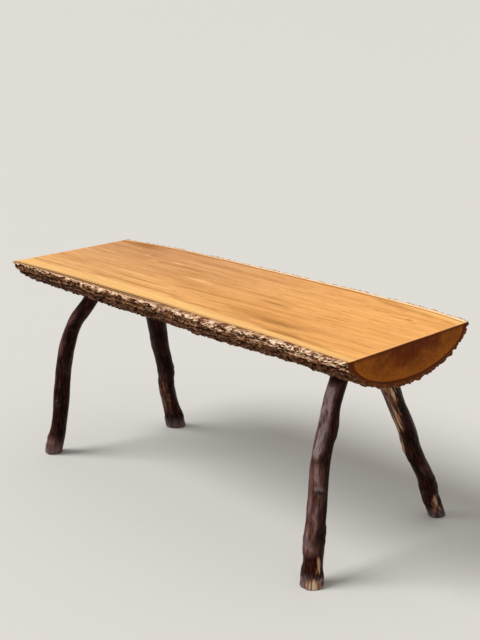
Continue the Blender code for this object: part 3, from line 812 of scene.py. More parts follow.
def varnished_wood():
    """Varnished softwood, split and hand planed: long amber streaks, pale sapwood beside the bark, and
    darker end grain in faint rings where the ends were sawn. The varnish gives a soft satin shine."""
    look = bpy.context.scene.bench_seat
    material, put = new_material("varnished_honey_softwood")
    place = put("TexCoord").outputs["Object"]
    x, y, z = put("SeparateXYZ", place).outputs
    ring, front, end, arris = (
        put("Attribute", attribute_name=name).outputs["Fac"]
        for name in ("ring", "front", "end_grain", "arris")
    )
    per_metre = [1 / size for size in GRAIN_BEND_SIZES]
    spot = put("VectorMath", place, per_metre, [GRAIN_BEND_SHIFT] * 3, operation="MULTIPLY_ADD")
    bend = put("MapRange", put("TexNoise", spot, 1.0, 2.0), 0.0, 1.0, -GRAIN_BEND, GRAIN_BEND)
    along_grain = put("VectorMath", place, put("CombineXYZ", None, bend), operation="ADD")

    # Patterns: where they lie, their sizes, a shift that keeps them apart, their detail and their roughness
    dashes, mottle, broad, streaks, fibres, blotch, pores = (
        put("TexNoise", put(
            "VectorMath", point, [1 / size for size in sizes], [shift] * 3, operation="MULTIPLY_ADD",
        ), 1.0, detail, rough)
        for point, sizes, shift, detail, rough in (
            (along_grain, (0.036, 0.0032, 0.0032), 13, 3, 0.5),
            (along_grain, (0.20, 0.020, 0.020), 17, 4, 0.65),
            (along_grain, (0.60, 0.030, 0.030), 0, 3, 0.55),
            (along_grain, (0.26, 0.0055, 0.0055), 5, 4, 0.6),
            (along_grain, (0.11, 0.0016, 0.0016), 9, 3, 0.5),
            (place, (0.05, 0.035, 0.022), 21, 4, 0.6),
            (place, (0.006, 0.0055, 0.0055), 31, 4, 0.7),
        )
    )

    # The flat: calmer and more orange to the right, pinker at the back left, sapwood and bark at its edges
    to_right = put("MapRange", x, -0.50, 0.45, interpolation_type="SMOOTHSTEP")
    to_back = put("MapRange", y, -0.16, 0.15, interpolation_type="SMOOTHSTEP")
    back_left = put("Math", to_back, put("Math", 1.0, to_right, operation="SUBTRACT"), operation="MULTIPLY")
    stir = put("MapRange", x, 0.14, 0.42, 0.75, 0.12, interpolation_type="SMOOTHSTEP")
    busy = put("MapRange", broad, 0.62, 0.36, 0.18, stir)
    sap_front = put("MapRange", x, -0.10, 0.45, 0.66, 0.84)
    sap_behind = put("MapRange", x, 0.20, 0.50, 0.94, 0.82)
    sap_from = put("MapRange", front, -0.6, 0.6, sap_behind, sap_front)
    wavy = put("Math", ring, put("MapRange", mottle, 0.0, 1.0, -0.13, 0.13), operation="ADD")
    past = put("Math", wavy, sap_from, operation="SUBTRACT")
    near_sap = put("Math", past, operation="ABSOLUTE")
    bound_at = put("MapRange", front, -0.6, 0.6, 0.955, 0.970)
    bound_most = put("MapRange", front, -0.6, 0.6, 0.75, put("MapRange", x, -0.05, 0.25, 0.6, 0.3))
    beside = put("Math", put("Math", ring, bound_at, operation="SUBTRACT"), operation="ABSOLUTE")
    behind = put("MapRange", front, -0.5, -0.6, 0.0, put("MapRange", x, -0.30, -0.05))
    behind = put("Math", behind, put("MapRange", dashes, 0.62, 0.42, 0.2), operation="MULTIPLY")
    flat = tinted(put, look.heartwood, (
        (broad, 0.35, 0.70, 1.0, look.pale_streak),
        (to_right, 0.0, 1.0, 0.55, look.orange),
        (back_left, 0.0, 1.0, 1.0, look.tan),
        (streaks, 0.50, 0.72, busy, look.dark_streak),
        (dashes, 0.58, 0.72, 0.7, look.dark_streak),
        (mottle, 0.46, 0.72, 0.42, look.dark_streak),
        (mottle, 0.46, 0.25, 0.40, look.pale_streak),
        (dashes, 0.38, 0.24, back_left, look.pale_streak),
        (streaks, 0.48, 0.25, 0.45, look.pale_streak),
        (near_sap, 0.045, 0.0, 0.45, look.dark_streak),
        (past, 0.0, 0.14, 0.85, look.sapwood),
        (fibres, 0.45, 0.70, 0.42, look.dark_streak),
        (beside, 0.016, 0.004, bound_most, look.bound),
        (ring, 0.966, 0.976, behind, look.bast),
    ))
    for mark_x, mark_y, half_long, half_wide, depth in SEAT_MARKS:
        spot = put("VectorMath", place, TO_ROW @ Vector((mark_x, mark_y, SEAT_TOP)), operation="SUBTRACT")
        spot = put("VectorMath", spot, (1 / half_long, 1 / half_wide, 1.0), operation="MULTIPLY")
        gap = put("Math", put("VectorMath", spot, operation="LENGTH"), fibres, operation="ADD")
        tint = look.dark_streak if depth > 0 else look.pale_streak
        flat = tinted(put, flat, [(gap, *MARK_EDGE, abs(depth), tint)])

    # The sawn ends: golden round a brown heart, with faint year rings and a dark rind and upper edge
    years = put("Math", ring, put("MapRange", streaks, 0.0, 1.0, -0.03, 0.03), operation="ADD")
    years = put("Math", put("Math", years, YEAR_TURN, operation="MULTIPLY"), operation="SINE")
    golden = put("Math", ring, put("MapRange", blotch, 0.3, 0.7, -0.30, 0.30), operation="ADD")
    golden = put("MapRange", golden, 0.20, 1.0, interpolation_type="SMOOTHSTEP")
    rind = put("Math", ring, put("MapRange", blotch, 0.0, 1.0, -0.03, 0.03), operation="ADD")
    end_wood = tinted(put, look.end_dark, (
        (golden, 0.0, 1.0, 1.0, look.end_pale),
        (years, 0.1, 1.0, 0.22, look.end_dark),
        (pores, 0.45, 0.75, 0.55, look.end_dark),
        (rind, 0.925, 0.935, 1.0, look.edge),
        (rind, 0.945, 0.960, 0.6, look.end_dark),
        (z, *(SEAT_TOP - depth for depth in END_DARKENS), 0.7, look.edge),
    ))
    # The arris mark: above nothing it is dark red varnish on the arrises and painted shade in the drying
    # crack; below nothing it is a painted highlight along the arris's top facet
    wood = tinted(put, flat, (
        (end, 0.0, 1.0, 1.0, end_wood),
        (arris, 0.0, 1.0, 1.0, look.edge),
        (arris, 0.0, -1.0, 1.0, look.glint),
    ))
    rough = put("MapRange", fibres, 0.0, 1.0, look.gloss - 0.06, look.gloss + 0.10)
    end_material(put, wood, rough, shine=0.03, bump=fibres, height=0.0003)
    return material


def varnished_bark():
    """Old furrowed bark under varnish: near-black cracks, partly painted shade, brown plates, worn ridges of
    grey pink and cream, and brown layers where it was sawn. Painted shade darkens the bark below the pale
    rim. The varnish makes the worn ridges glint."""
    look = bpy.context.scene.bench_bark
    material, put = new_material("varnished_furrowed_bark")
    place = put("TexCoord").outputs["Object"]
    along = put("SeparateXYZ", place).outputs["X"]
    relief, tone, cut, layer, rim, sawn_end, behind, low = (
        put("Attribute", attribute_name=name).outputs["Fac"]
        for name in ("relief", "tone", "cut", "layer", "rim", "sawn", "behind", "low")
    )

    # Patterns: their sizes, a shift that keeps them apart, their detail and their roughness
    specks, patches, flecks, chips = (
        put("TexNoise", put(
            "VectorMath", place, [1 / size for size in sizes], [shift] * 3, operation="MULTIPLY_ADD",
        ), 1.0, detail, rough)
        for sizes, shift, detail, rough in (
            ((0.009, 0.0035, 0.0035), 0, 4, 0.65), ((0.075, 0.030, 0.030), 4, 3, 0.5),
            ((0.0065, 0.0024, 0.0024), 15, 3, 0.5), ((0.018, 0.009, 0.009), 8, 2, 0.5),
        )
    )

    # The outside: plates between cracks, darker lower down from painted shade, and flaked along the rim
    grain = put("MapRange", specks, 0.3, 0.7, -0.28, 0.28)
    worn = put("Math", relief, grain, operation="ADD")
    # The near-black low end of this ramp is partly painted shade in the furrows
    skin = put("ValToRGB", worn, stops=[(0.22, look.crack), (0.50, look.brown), (0.92, look.ridge)])
    skin = tinted(put, skin, [(patches, 0.48, 0.68, 0.4125, look.moss)])
    # Painted shade: the bark below the pale rim is multiplied darker, and darker still towards the left end
    shadowed = put("Math", low, put("MapRange", along, -0.45, -0.10, 0.92, 0.75), operation="MULTIPLY")
    skin = put("Mix", shadowed, skin, look.shade, data_type="RGBA", blend_type="MULTIPLY")
    flaked = put("Math", tone, 0.45, 0.27, operation="MULTIPLY_ADD")
    for change in (
        put("MapRange", chips, 0.3, 0.7, -0.22, 0.22), grain, put("MapRange", flecks, 0.3, 0.7, -0.30, 0.30),
        put("MapRange", along, -0.10, 0.40, -0.06, 0.10),
    ):
        flaked = put("Math", flaked, change, operation="ADD")
    edge = put("ValToRGB", flaked, stops=[
        (0.28, look.gap), (0.46, look.russet), (0.60, look.blush), (0.78, look.rim),
    ])
    edge = tinted(put, edge, [(worn, 0.46, 0.20, 1.0, look.gap)])
    proud = put("MapRange", worn, 0.52, 0.85, 0.0, 0.75)
    skin = tinted(put, skin, [(flecks, 0.54, 0.64, proud, look.blush), (rim, 0.0, 1.0, 1.0, edge)])

    # The sawn rim and ends: layers from the outside to the wood
    ripple = put("Math", layer, put("MapRange", specks, 0.0, 1.0, -0.16, 0.16), operation="ADD")
    lined, plain, pale_back = (put("ValToRGB", ripple, stops=stops) for stops in (
        (
            (0.0, look.rim), (0.26, look.blush), (0.40, look.cut_dark), (0.52, look.cut_pale),
            (0.80, look.moss), (0.94, look.cut_dark),
        ),
        (
            (0.0, look.rim), (0.22, look.blush), (0.44, look.cut_pale), (0.62, look.russet),
            (0.74, look.cut_pale), (0.96, look.cut_pale), (1.0, look.cut_gold),
        ),
        ((0.0, look.russet), (0.30, look.cut_gold), (0.55, look.blush), (0.80, look.rim)),
    ))
    plain = tinted(put, plain, [(ripple, 1.0, 0.4, 0.8, edge)])
    at_end = tinted(put, look.cut_end, (
        (chips, 0.42, 0.66, 1.0, look.cut_gold),
        (specks, 0.50, 0.70, 1.0, look.cut_dark),
        (ripple, 0.8, 1.0, 1.0, look.cut_dark),
    ))
    sawn = tinted(put, lined, (
        (along, -0.10, 0.12, 1.0, plain),
        (behind, 0.0, 1.0, 1.0, pale_back),
        (sawn_end, 0.0, 1.0, 1.0, at_end),
    ))
    whole = tinted(put, skin, [(cut, 0.0, 1.0, 1.0, sawn)])
    rough = put("MapRange", worn, 0.2, 0.9, look.gloss + 0.25, look.gloss - 0.05)
    end_material(put, whole, rough, shine=0.05, bump=specks, height=0.0012)
    return material


def varnished_branch():
    """Dark branch with its thin skin on, stained and varnished: reddish brown with lengthwise streaks, tan
    where the skin is stripped, pale where a foot or a knot is scuffed, with a satin shine. Painted sheen
    greys the skin where the varnish would catch the light, a painted highlight lifts the ring round each knot
    and the lip of a healed knot, and painted shade darkens the crease under that lip."""
    look = bpy.context.scene.bench_legs
    material, put = new_material("varnished_dark_branch")
    low = put("SeparateXYZ", put("TexCoord").outputs["Object"]).outputs["Z"]
    bare, rubbed_and_sheen, knot = (
        put("Attribute", attribute_name=name).outputs["Fac"] for name in ("bare", "rubbed_and_sheen", "knot")
    )
    grain, scar = (put("Attribute", attribute_name=name).outputs["Vector"] for name in ("grain", "scar"))

    # Patterns: their sizes, a shift that keeps them apart, their detail, their roughness and their twist
    streaks, fine, patches, torn = (
        put("TexNoise", put(
            "VectorMath", grain, [1 / size for size in sizes], [shift] * 3, operation="MULTIPLY_ADD",
        ), 1.0, detail, rough, None, twist)
        for sizes, shift, detail, rough, twist in (
            ((0.0075, 0.0075, 0.055), 0, 5, 0.65, 0.4), ((0.0022, 0.0022, 0.016), 6, 3, 0.5, 0.0),
            ((0.016, 0.016, 0.050), 3, 3, 0.5, 0.0), ((0.0042, 0.0042, 0.050), 11, 3, 0.6, 0.0),
        )
    )
    # Painted sheen: the skin is greyed where the varnish would catch the light; at the feet the same grey is
    # skin worn by rubbing
    sheen_share = put("Math", rubbed_and_sheen, put("MapRange", patches, 0.34, 0.58, 0.15), operation="MULTIPLY")
    grey = tinted(put, look.worn, [(sheen_share, 0.75, 1.15, 1.0, look.painted_sheen_and_dust)])
    dust = put("MapRange", low, *FOOT_DUST, 0.0, 0.7)
    patch = put("MapRange", torn, 0.62, 0.38, 0.0, bare)
    under = put("ValToRGB", patch, stops=[(0.30, look.red), (0.60, look.bare), (1.0, look.scuff)])
    # A pale ring round each knot: partly scuffed skin, partly a painted highlight
    knot_ring_glint = put("MapRange", knot, 0.15, 0.45, 0.0, 0.18)
    skin = tinted(put, look.dark, (
        (patches, 0.36, 0.56, 1.0, look.skin),
        (torn, 0.46, 0.30, 0.7, look.red),
        (sheen_share, 0.0, 1.0, 1.0, grey),
        (streaks, 0.50, 0.68, 0.75, look.dark),
        (fine, 0.52, 0.66, 0.6, look.dark),
        (fine, 0.42, 0.28, 0.35, look.worn),
        (torn, 0.36, 0.60, dust, look.painted_sheen_and_dust),
        (patch, 0.30, 0.40, 1.0, under),
        (fine, 0.52, 0.70, knot_ring_glint, look.scuff),
        (knot, 0.60, 0.95, 0.3, look.dark),
    ))

    # A healed knot's lip with a painted highlight and the crease under it with painted shade: height, half
    # width, strength and tint
    across, up, healed = put("SeparateXYZ", scar).outputs
    wide = put("MapRange", put("Math", across, operation="ABSOLUTE"), 0.80, 0.30, 0.0, healed)
    wide = put("Math", wide, put("MapRange", knot, 0.02, 0.12), operation="MULTIPLY")
    for height, half, most, tint in ((0.26, 0.42, 0.50, look.painted_sheen_and_dust), (-0.06, 0.24, 0.70, look.dark)):
        wander = put("MapRange", fine, 0.3, 0.7, -height - SCAR_WANDER, -height + SCAR_WANDER)
        apart = put("Math", put("Math", up, wander, operation="ADD"), operation="ABSOLUTE")
        inside = put("Math", wide, most, operation="MULTIPLY")
        skin = tinted(put, skin, [(apart, half, half / 6, inside, tint)])
    rough = put("MapRange", streaks, 0.3, 0.7, look.gloss, look.gloss + 0.20)
    furrows = put("Math", streaks, fine, operation="ADD")
    end_material(put, skin, rough, shine=0.045, bump=furrows, height=0.0008)
    return material


def riven_wood():
    """Riven hardwood, bare: pale tan with short lengthwise fibres and no shine."""
    look = bpy.context.scene.bench_legs
    material, put = new_material("riven_hardwood")
    place = put("TexCoord").outputs["Object"]
    spot = put("VectorMath", place, [1 / size for size in RIVEN_FIBRES], operation="MULTIPLY")
    fibres = put("TexNoise", spot, 1.0, 3.0)
    wood = tinted(put, look.wedge, [(fibres, 0.35, 0.75, 0.5, look.bare)])
    end_material(put, wood, rough=0.7, shine=0.5, bump=fibres, height=0.0002)
    return material


def pale_floor():
    """Plain pale floor with a fine mottle that hardly shows."""
    material, put = new_material("pale_floor")
    mottle = put("TexNoise", put("TexCoord").outputs["Object"], 1 / FLOOR_MOTTLE, 3.0)
    tint = bpy.context.scene.bench_stage.floor
    end_material(put, tint, rough=0.8, shine=0.5, bump=mottle, height=0.0002)
    return material


# The seat


def slab_mesh(look):
    """The half log of wood: a planed flat, eased arrises at its sawn ends, and a drying crack."""
    half_check = look.check_width * WIDTHS_PER_METRE
    near_check = [CHECK_AT + side * half_check * part for side in (-1, 1) for part in CHECK_STEPS]
    across = sorted([k / SLAB_ACROSS for k in range(SLAB_ACROSS + 1)] + near_check + [CHECK_AT])
    steps = [look.arris * (1 - math.cos(math.radians(angle))) / SEAT_LENGTH for angle in ARRIS_ANGLES]
    inner = [steps[-1] + (1 - 2 * steps[-1]) * i / SLAB_ALONG for i in range(1, SLAB_ALONG)]
    along = steps + inner + [1 - step for step in reversed(steps)]
    points, marks = [], {"ring": [], "front": [], "arris": []}

    def lay(share_along, share_across, share_down, on_end, eased):
        """Lays one point at its shares of the way through the half log, and gives its number."""
        x = (share_along - 0.5) * SEAT_LENGTH
        front_y = edges(x)[0] + wood_inset(x, 0)[0] - swell(x, 1.0)
        back_y = edges(x)[1] - wood_inset(x, math.pi)[0] + swell(x, -1.0)
        y = front_y + (back_y - front_y) * share_across
        side = (y - (front_y + back_y) / 2) / (back_y - front_y) * 2
        out = abs(side)
        deep = depth_below_heart(x) + swell(x, 0.0) - BARK_BELLY - HEART_RISE
        floor_z = SEAT_TOP - deep * max(0.0, 1 - out ** SECTION_POWER) ** (1 / SECTION_POWER)
        planed = noise.noise(Vector((x / PLANE_WAVE_LENGTH, y / PLANE_WAVE_WIDTH, PLANE_SLICE)))
        drop = look.arris - math.sqrt(max(0.0, look.arris ** 2 - (look.arris - eased) ** 2))
        top_z = SEAT_TOP + look.plane_wave * planed * (1 - out ** 4) - drop * (1 - out ** 8)
        z = max(floor_z, top_z) if share_down == 0 else top_z + (floor_z - top_z) * share_down
        sunk = 0.0
        if on_end and share_along > 0.5:
            narrow = max(0.0, 1 - abs(share_across - CHECK_AT) / half_check)
            below = smooth_share(share_down * SLAB_DOWN - 1)
            closing = (CHECK_CLOSES[1] - share_down) / (CHECK_CLOSES[1] - CHECK_CLOSES[0])
            sunk = look.check_depth * narrow * below * smooth_share(closing)
        points.append((sawn_x(share_along, y) - sunk, y, z))
        marks["ring"].append(min(1.0, math.hypot(side, (SEAT_TOP - z) / deep)))
        marks["front"].append(-side)
        edge_on = smooth_share(1 - share_down * SLAB_DOWN / ARRIS_ROWS) if on_end else 0.0
        # Dark red varnish along the arrises, and painted shade inside the drying crack
        dark_on = max(ARRIS_DARK * edge_on, min(CHECK_DARK, ARRIS_DARK * sunk / look.check_depth))
        # A painted highlight along the top facet of each eased arris
        on_arris = share_down == 0 and not on_end and 0 < eased < ARRIS_SLACK * look.arris
        marks["arris"].append(dark_on - (ARRIS_GLINT if on_arris else 0.0))
        return len(points) - 1

    faces = sheet([[lay(a, c, 0, False, min(a, 1 - a) * SEAT_LENGTH) for c in across] for a in along])
    faces += sheet([[lay(a, c, 1, False, look.arris) for c in across] for a in along])
    downs = [m / SLAB_DOWN for m in range(SLAB_DOWN + 1)]
    for end in (0, 1):
        faces += sheet([[lay(end, c, m, True, look.arris * m) for c in across] for m in downs])
    return mesh_from("seat_plank", points, [], faces, marks)


# The bark


def rim_chip(x, behind):
    """How deep the bark's rim is chipped, as a share of its deepest chip."""
    line = 2 if behind else 1
    rough = noise.noise(Vector((x / RIM_CHIP_LENGTH, line, 0)))
    rough += 0.5 * noise.noise(Vector((RIM_CHIP_FINE * x / RIM_CHIP_LENGTH, line, 5)))
    return smooth_share(RIM_CHIP_LEVEL[0] + RIM_CHIP_LEVEL[1] * rough) * (RIM_CHIP_BEHIND if behind else 1.0)


def rim_band(along, behind):
    """Width of the pale bark along a rim."""
    if behind:
        return RIM_BAND_BEHIND
    grown = smooth_share((along - RIM_BAND_GROWS[0]) / (RIM_BAND_GROWS[1] - RIM_BAND_GROWS[0]))
    return RIM_BAND[0] + (RIM_BAND[1] - RIM_BAND[0]) * grown


def bark_mesh():
    """The bark as a closed shell: its furrowed outside, its rim and ends in layers, and a plain lining."""
    points, marks = [], {}
    rounds = [
        k / BARK_AROUND - BARK_CROWD * math.sin(math.tau * k / BARK_AROUND) / math.tau
        for k in range(BARK_AROUND)
    ] + [1]
    section = [on_log(0.5, around, lambda x, turn: (0, 0))[0] for around in rounds]
    round_way = [0.0]
    for first, second in zip(section, section[1:]):
        round_way.append(round_way[-1] + (second - first).length)

    def lay(i, k, layer):
        """Lays one point, a share of the way from the outside to the wood, and gives its number."""
        along, around, behind = i / BARK_ALONG, rounds[k], rounds[k] >= 0.5
        skin, turn = on_log(along, around, bark_inset)
        point = skin.lerp(on_log(along, around, wood_room)[0], layer) if layer > 0 else skin.copy()
        rim_gap = min(round_way[k], round_way[-1] - round_way[k])
        if RIM_CHIP_ENDS < i < BARK_ALONG - RIM_CHIP_ENDS:
            fade = max(0.0, 1 - layer / RIM_CHIP_REACH) * max(0.0, 1 - rim_gap / RIM_CHIP_FALL)
            point.z -= RIM_CHIP * rim_chip(skin.x, behind) * fade
        points.append(point)
        out = Vector((0, -bent(math.cos(turn)), 0 if k in (0, BARK_AROUND) else -bent(math.sin(turn))))
        band = rim_band(along, behind)
        from_legs = min((skin - JOINTS[name]["mouth"]).length / LEGS[name]["neck"] for name in LEGS)
        from_ends = SEAT_LENGTH * min(along, 1 - along)
        clear = from_legs > CLEAR_OF_LEGS and from_ends > CLEAR_OF_ENDS and rim_gap > CLEAR_OF_RIM
        for mark, value in {
            "along": skin.x, "around": round_way[k], "way": out.normalized(), "cover": 1 - layer,
            "layer": layer, "cut": float(layer > 0), "sawn": float(i in (0, BARK_ALONG) and layer > 0),
            "behind": float(around > 0.5), "rim": math.exp(-((rim_gap / band) ** 4)),
            # Where the painted shade darkens the bark below the pale rim
            "low": smooth_share((rim_gap - SHADE_FROM * band) / SHADE_RUN),
            "ridge": 1 - furrow(skin.x, turn) / FURROW_DEPTH, "clear": float(clear),
        }.items():
            marks.setdefault(mark, []).append(value)
        return len(points) - 1

    outside = [[lay(i, k, 0) for k in range(BARK_AROUND + 1)] for i in range(BARK_ALONG + 1)]
    faces = sheet(outside)
    rim = [(i, 0) for i in range(BARK_ALONG)]
    rim += [(BARK_ALONG, k) for k in range(BARK_AROUND)]
    rim += [(i, BARK_AROUND) for i in range(BARK_ALONG, 0, -1)]
    rim += [(0, k) for k in range(BARK_AROUND, 0, -1)]
    loop = [outside[i][k] for i, k in rim]
    for layer in RIM_LAYERS:
        following = [lay(i, k, layer) for i, k in rim]
        faces += sheet([loop[-1:] + loop, following[-1:] + following])
        loop = following
    step = BARK_LINING
    lining = {
        (i, k): lay(i, k, 1)
        for i in range(0, BARK_ALONG + 1, step) for k in range(0, BARK_AROUND + 1, step)
    }
    faces += sheet([
        [lining[i, k] for i in range(0, BARK_ALONG + 1, step)] for k in range(0, BARK_AROUND + 1, step)
    ])
    for n in range(0, len(rim), step):
        stretch = [loop[(n + m) % len(rim)] for m in range(step + 1)]
        faces.append((*stretch, lining[rim[(n + step) % len(rim)]], lining[rim[n]]))
    return mesh_from("bark_shell", points, [], faces, marks)


def bark_relief():
    """A tree that breaks the bark's ridges into plates with cracks between them, in stepped layers."""
    tree, put, given = new_tree("bark relief", {
        "Plate Length": "Float", "Plate Width": "Float", "Plate Height": "Float", "Step Height": "Float",
        "Grit": "Float", "Seed": "Float",
    })
    along, around, cover, ridge = (
        put("InputNamedAttribute", name, data_type="FLOAT") for name in ("along", "around", "cover", "ridge")
    )
    way = put("InputNamedAttribute", "way", data_type="FLOAT_VECTOR")
    flat = put("CombineXYZ", along, around, given["Seed"])

    # Patterns: their sizes, their detail and their roughness
    drift, gritty = (
        put("TexNoise", put(
            "VectorMath", flat, (1 / long, 1 / wide, 1.0), operation="MULTIPLY",
        ), 1.0, detail, rough)
        for long, wide, detail, rough in ((0.11, 0.06, 2, 0.5), (0.011, 0.0050, 4, 0.7))
    )
    slide = put("Math", put("Math", drift, 0.5, operation="SUBTRACT"), PLATE_SLIDE, operation="MULTIPLY")
    across = put("Math", around, slide, operation="ADD")

    # Plates, and the smaller cells of their layers: their sizes as shares of a plate's, a shift and a feature
    cells = []
    for long, wide, shift, feature in ((1.0, 1.0, 0.0, "DISTANCE_TO_EDGE"), (0.40, 0.45, 3.0, "F1")):
        plate_long = put("Math", given["Plate Length"], long, operation="MULTIPLY")
        plate_wide = put("Math", given["Plate Width"], wide, operation="MULTIPLY")
        row = put("Math", put("Math", across, plate_wide, operation="DIVIDE"), given["Seed"], operation="ADD")
        spot = put(
            "CombineXYZ", put("Math", along, plate_long, operation="DIVIDE"),
            put("Math", row, shift, operation="ADD"),
        )
        cells.append(put(
            "TexVoronoi", {"Vector": spot, "Scale": 1.0, "Randomness": 1.0}, voronoi_dimensions="2D",
            feature=feature,
        ))
    raised = put("MapRange", cells[0], 0.02, 0.20, interpolation_type="SMOOTHSTEP")
    tone = put("SeparateXYZ", cells[1].outputs["Color"])
    height = 0.0
    for part, level, size in (
        (raised, 0.65, "Plate Height"), (tone, 0.5, "Step Height"), (gritty, 0.5, "Grit"),
    ):
        lift = put("Math", put("Math", part, level, operation="SUBTRACT"), given[size], operation="MULTIPLY")
        height = put("Math", height, lift, operation="ADD")
    shown = put("Math", height, cover, operation="MULTIPLY")
    offset = put("VectorMath", way, shown, operation="SCALE")
    moved = put("SetPosition", given["Geometry"], None, None, offset)
    high = 0.0
    for part, weight in ((raised, 0.28), (ridge, 0.60), (tone, 0.22)):
        high = put("Math", high, put("Math", part, weight, operation="MULTIPLY"), operation="ADD")
    for mark, value in (("relief", high), ("tone", tone)):
        moved = put("StoreNamedAttribute", moved, None, mark, value, data_type="FLOAT", domain="POINT")
    end_tree(put, moved, given["Material"])
    return tree


def bark_flakes():
    """A tree that scatters loose flakes over the bark, each along the log and tipped up a little."""
    tree, put, given = new_tree("bark flakes", {
        "Length": "Float", "Width": "Float", "Thickness": "Float", "Density": "Float", "Seed": "Int",
    })
    cover, relief, clear = (
        put("InputNamedAttribute", name, data_type="FLOAT") for name in ("cover", "relief", "clear")
    )
    open_skin = put("Compare", cover, OPEN_SKIN, data_type="FLOAT", operation="GREATER_THAN")
    thick = put("Math", put("MapRange", relief, *FLAKE_GROUND), clear, operation="MULTIPLY")
    thick = put("Math", thick, given["Density"], operation="MULTIPLY")
    spread = put("DistributePointsOnFaces", {
        "Mesh": given["Geometry"], "Selection": open_skin, "Density": thick, "Seed": given["Seed"],
    }, distribute_method="RANDOM")
    lie = put("AxesToRotation", {
        "Primary Axis": spread.outputs["Normal"], "Secondary Axis": (1.0, 0.0, 0.0),
    }, primary_axis="Z", secondary_axis="X")
    tip = put("RandomValue", {
        "Min": [-turn for turn in FLAKE_TIP], "Max": FLAKE_TIP, "Seed": given["Seed"],
    }, data_type="FLOAT_VECTOR")
    turned = put("RotateRotation", lie, put("EulerToRotation", tip), rotation_space="LOCAL")
    chip = put("MeshCylinder", {
        "Vertices": FLAKE_SIDES, "Side Segments": 1, "Fill Segments": 1, "Radius": 0.5, "Depth": 1.0,
    }, fill_type="NGON")
    size = put("CombineXYZ", given["Length"], given["Width"], given["Thickness"])
    vary = put("RandomValue", {
        "Min": FLAKE_LEAST, "Max": FLAKE_MOST, "Seed": put("IntegerMath", given["Seed"], 1, operation="ADD"),
    }, data_type="FLOAT_VECTOR")
    flakes = put("InstanceOnPoints", {
        "Points": spread.outputs["Points"], "Instance": chip, "Rotation": turned,
        "Scale": put("VectorMath", size, vary, operation="MULTIPLY"),
    })
    least, most = FLAKE_WORN
    worn = put("RandomValue", {"Min": least, "Max": most, "Seed": given["Seed"]}, data_type="FLOAT")
    flakes = put("StoreNamedAttribute", flakes, None, "relief", worn, data_type="FLOAT", domain="INSTANCE")
    plain = put("RealizeInstances", flakes)
    ragged = put("TexNoise", put("InputPosition"), 1 / FLAKE_RAGGED_SIZE, 1.0).outputs["Color"]
    ragged = put("VectorMath", ragged, (0.5, 0.5, 0.5), operation="SUBTRACT")
    ragged = put("VectorMath", ragged, FLAKE_RAGGED, operation="MULTIPLY")
    end_tree(put, put("SetPosition", plain, None, None, ragged), given["Material"])
    return tree


# The legs


def branch_tube():
    """A tree that runs a round branch along its centre line, with lengthwise wrinkles and slow lumps."""
    tree, put, given = new_tree("branch tube", {
        "Sides": "Int", "Wrinkle": "Float", "Lump": "Float", "Neck": "Float", "Seed": "Float",
    })
    line = put("MeshToCurve", given["Geometry"])
    run = put("SplineParameter").outputs["Length"]
    line = put("StoreNamedAttribute", line, None, "down", run, data_type="FLOAT", domain="POINT")
    ring = put("CurvePrimitiveCircle", {"Resolution": given["Sides"], "Radius": 1.0})
    out = put("InputPosition")
    ring = put("StoreNamedAttribute", ring, None, "spoke", out, data_type="FLOAT_VECTOR", domain="POINT")
    thick, down = (put("InputNamedAttribute", name, data_type="FLOAT") for name in ("girth", "down"))
    spoke = put("InputNamedAttribute", "spoke", data_type="FLOAT_VECTOR")
    tube = put("CurveToMesh", {"Curve": line, "Profile Curve": ring, "Scale": thick, "Fill Caps": True})
    own_down = put("CombineXYZ", None, None, put("Math", down, given["Seed"], operation="ADD"))
    grain = put("VectorMath", put("VectorMath", spoke, thick, operation="SCALE"), own_down, operation="ADD")

    # Wrinkles and lumps: their height, their sizes, a shift and their detail
    rise = 0.0
    for height, wide, long, shift, detail in (("Wrinkle", 0.0065, 0.045, 0, 3), ("Lump", 0.020, 0.055, 2, 1)):
        spot = put(
            "VectorMath", grain, (1 / wide, 1 / wide, 1 / long), [shift] * 3, operation="MULTIPLY_ADD",
        )
        change = put("Math", put("TexNoise", spot, 1.0, detail), 0.5, operation="SUBTRACT")
        rise = put("Math", rise, put("Math", change, given[height], operation="MULTIPLY"), operation="ADD")
    # The patterns swing by half, so they are doubled below the neck
    below_neck = put("Math", given["Neck"], NECK_SMOOTH, operation="ADD")
    past_neck = put("MapRange", down, given["Neck"], below_neck, 0.0, 2.0)
    rise = put("Math", rise, past_neck, operation="MULTIPLY")
    offset = put("VectorMath", put("InputNormal"), rise, operation="SCALE")
    moved = put("SetPosition", tube, None, None, offset)
    moved = put("StoreNamedAttribute", moved, None, "grain", grain, data_type="FLOAT_VECTOR", domain="POINT")
    end_tree(put, moved, given["Material"])
    return tree


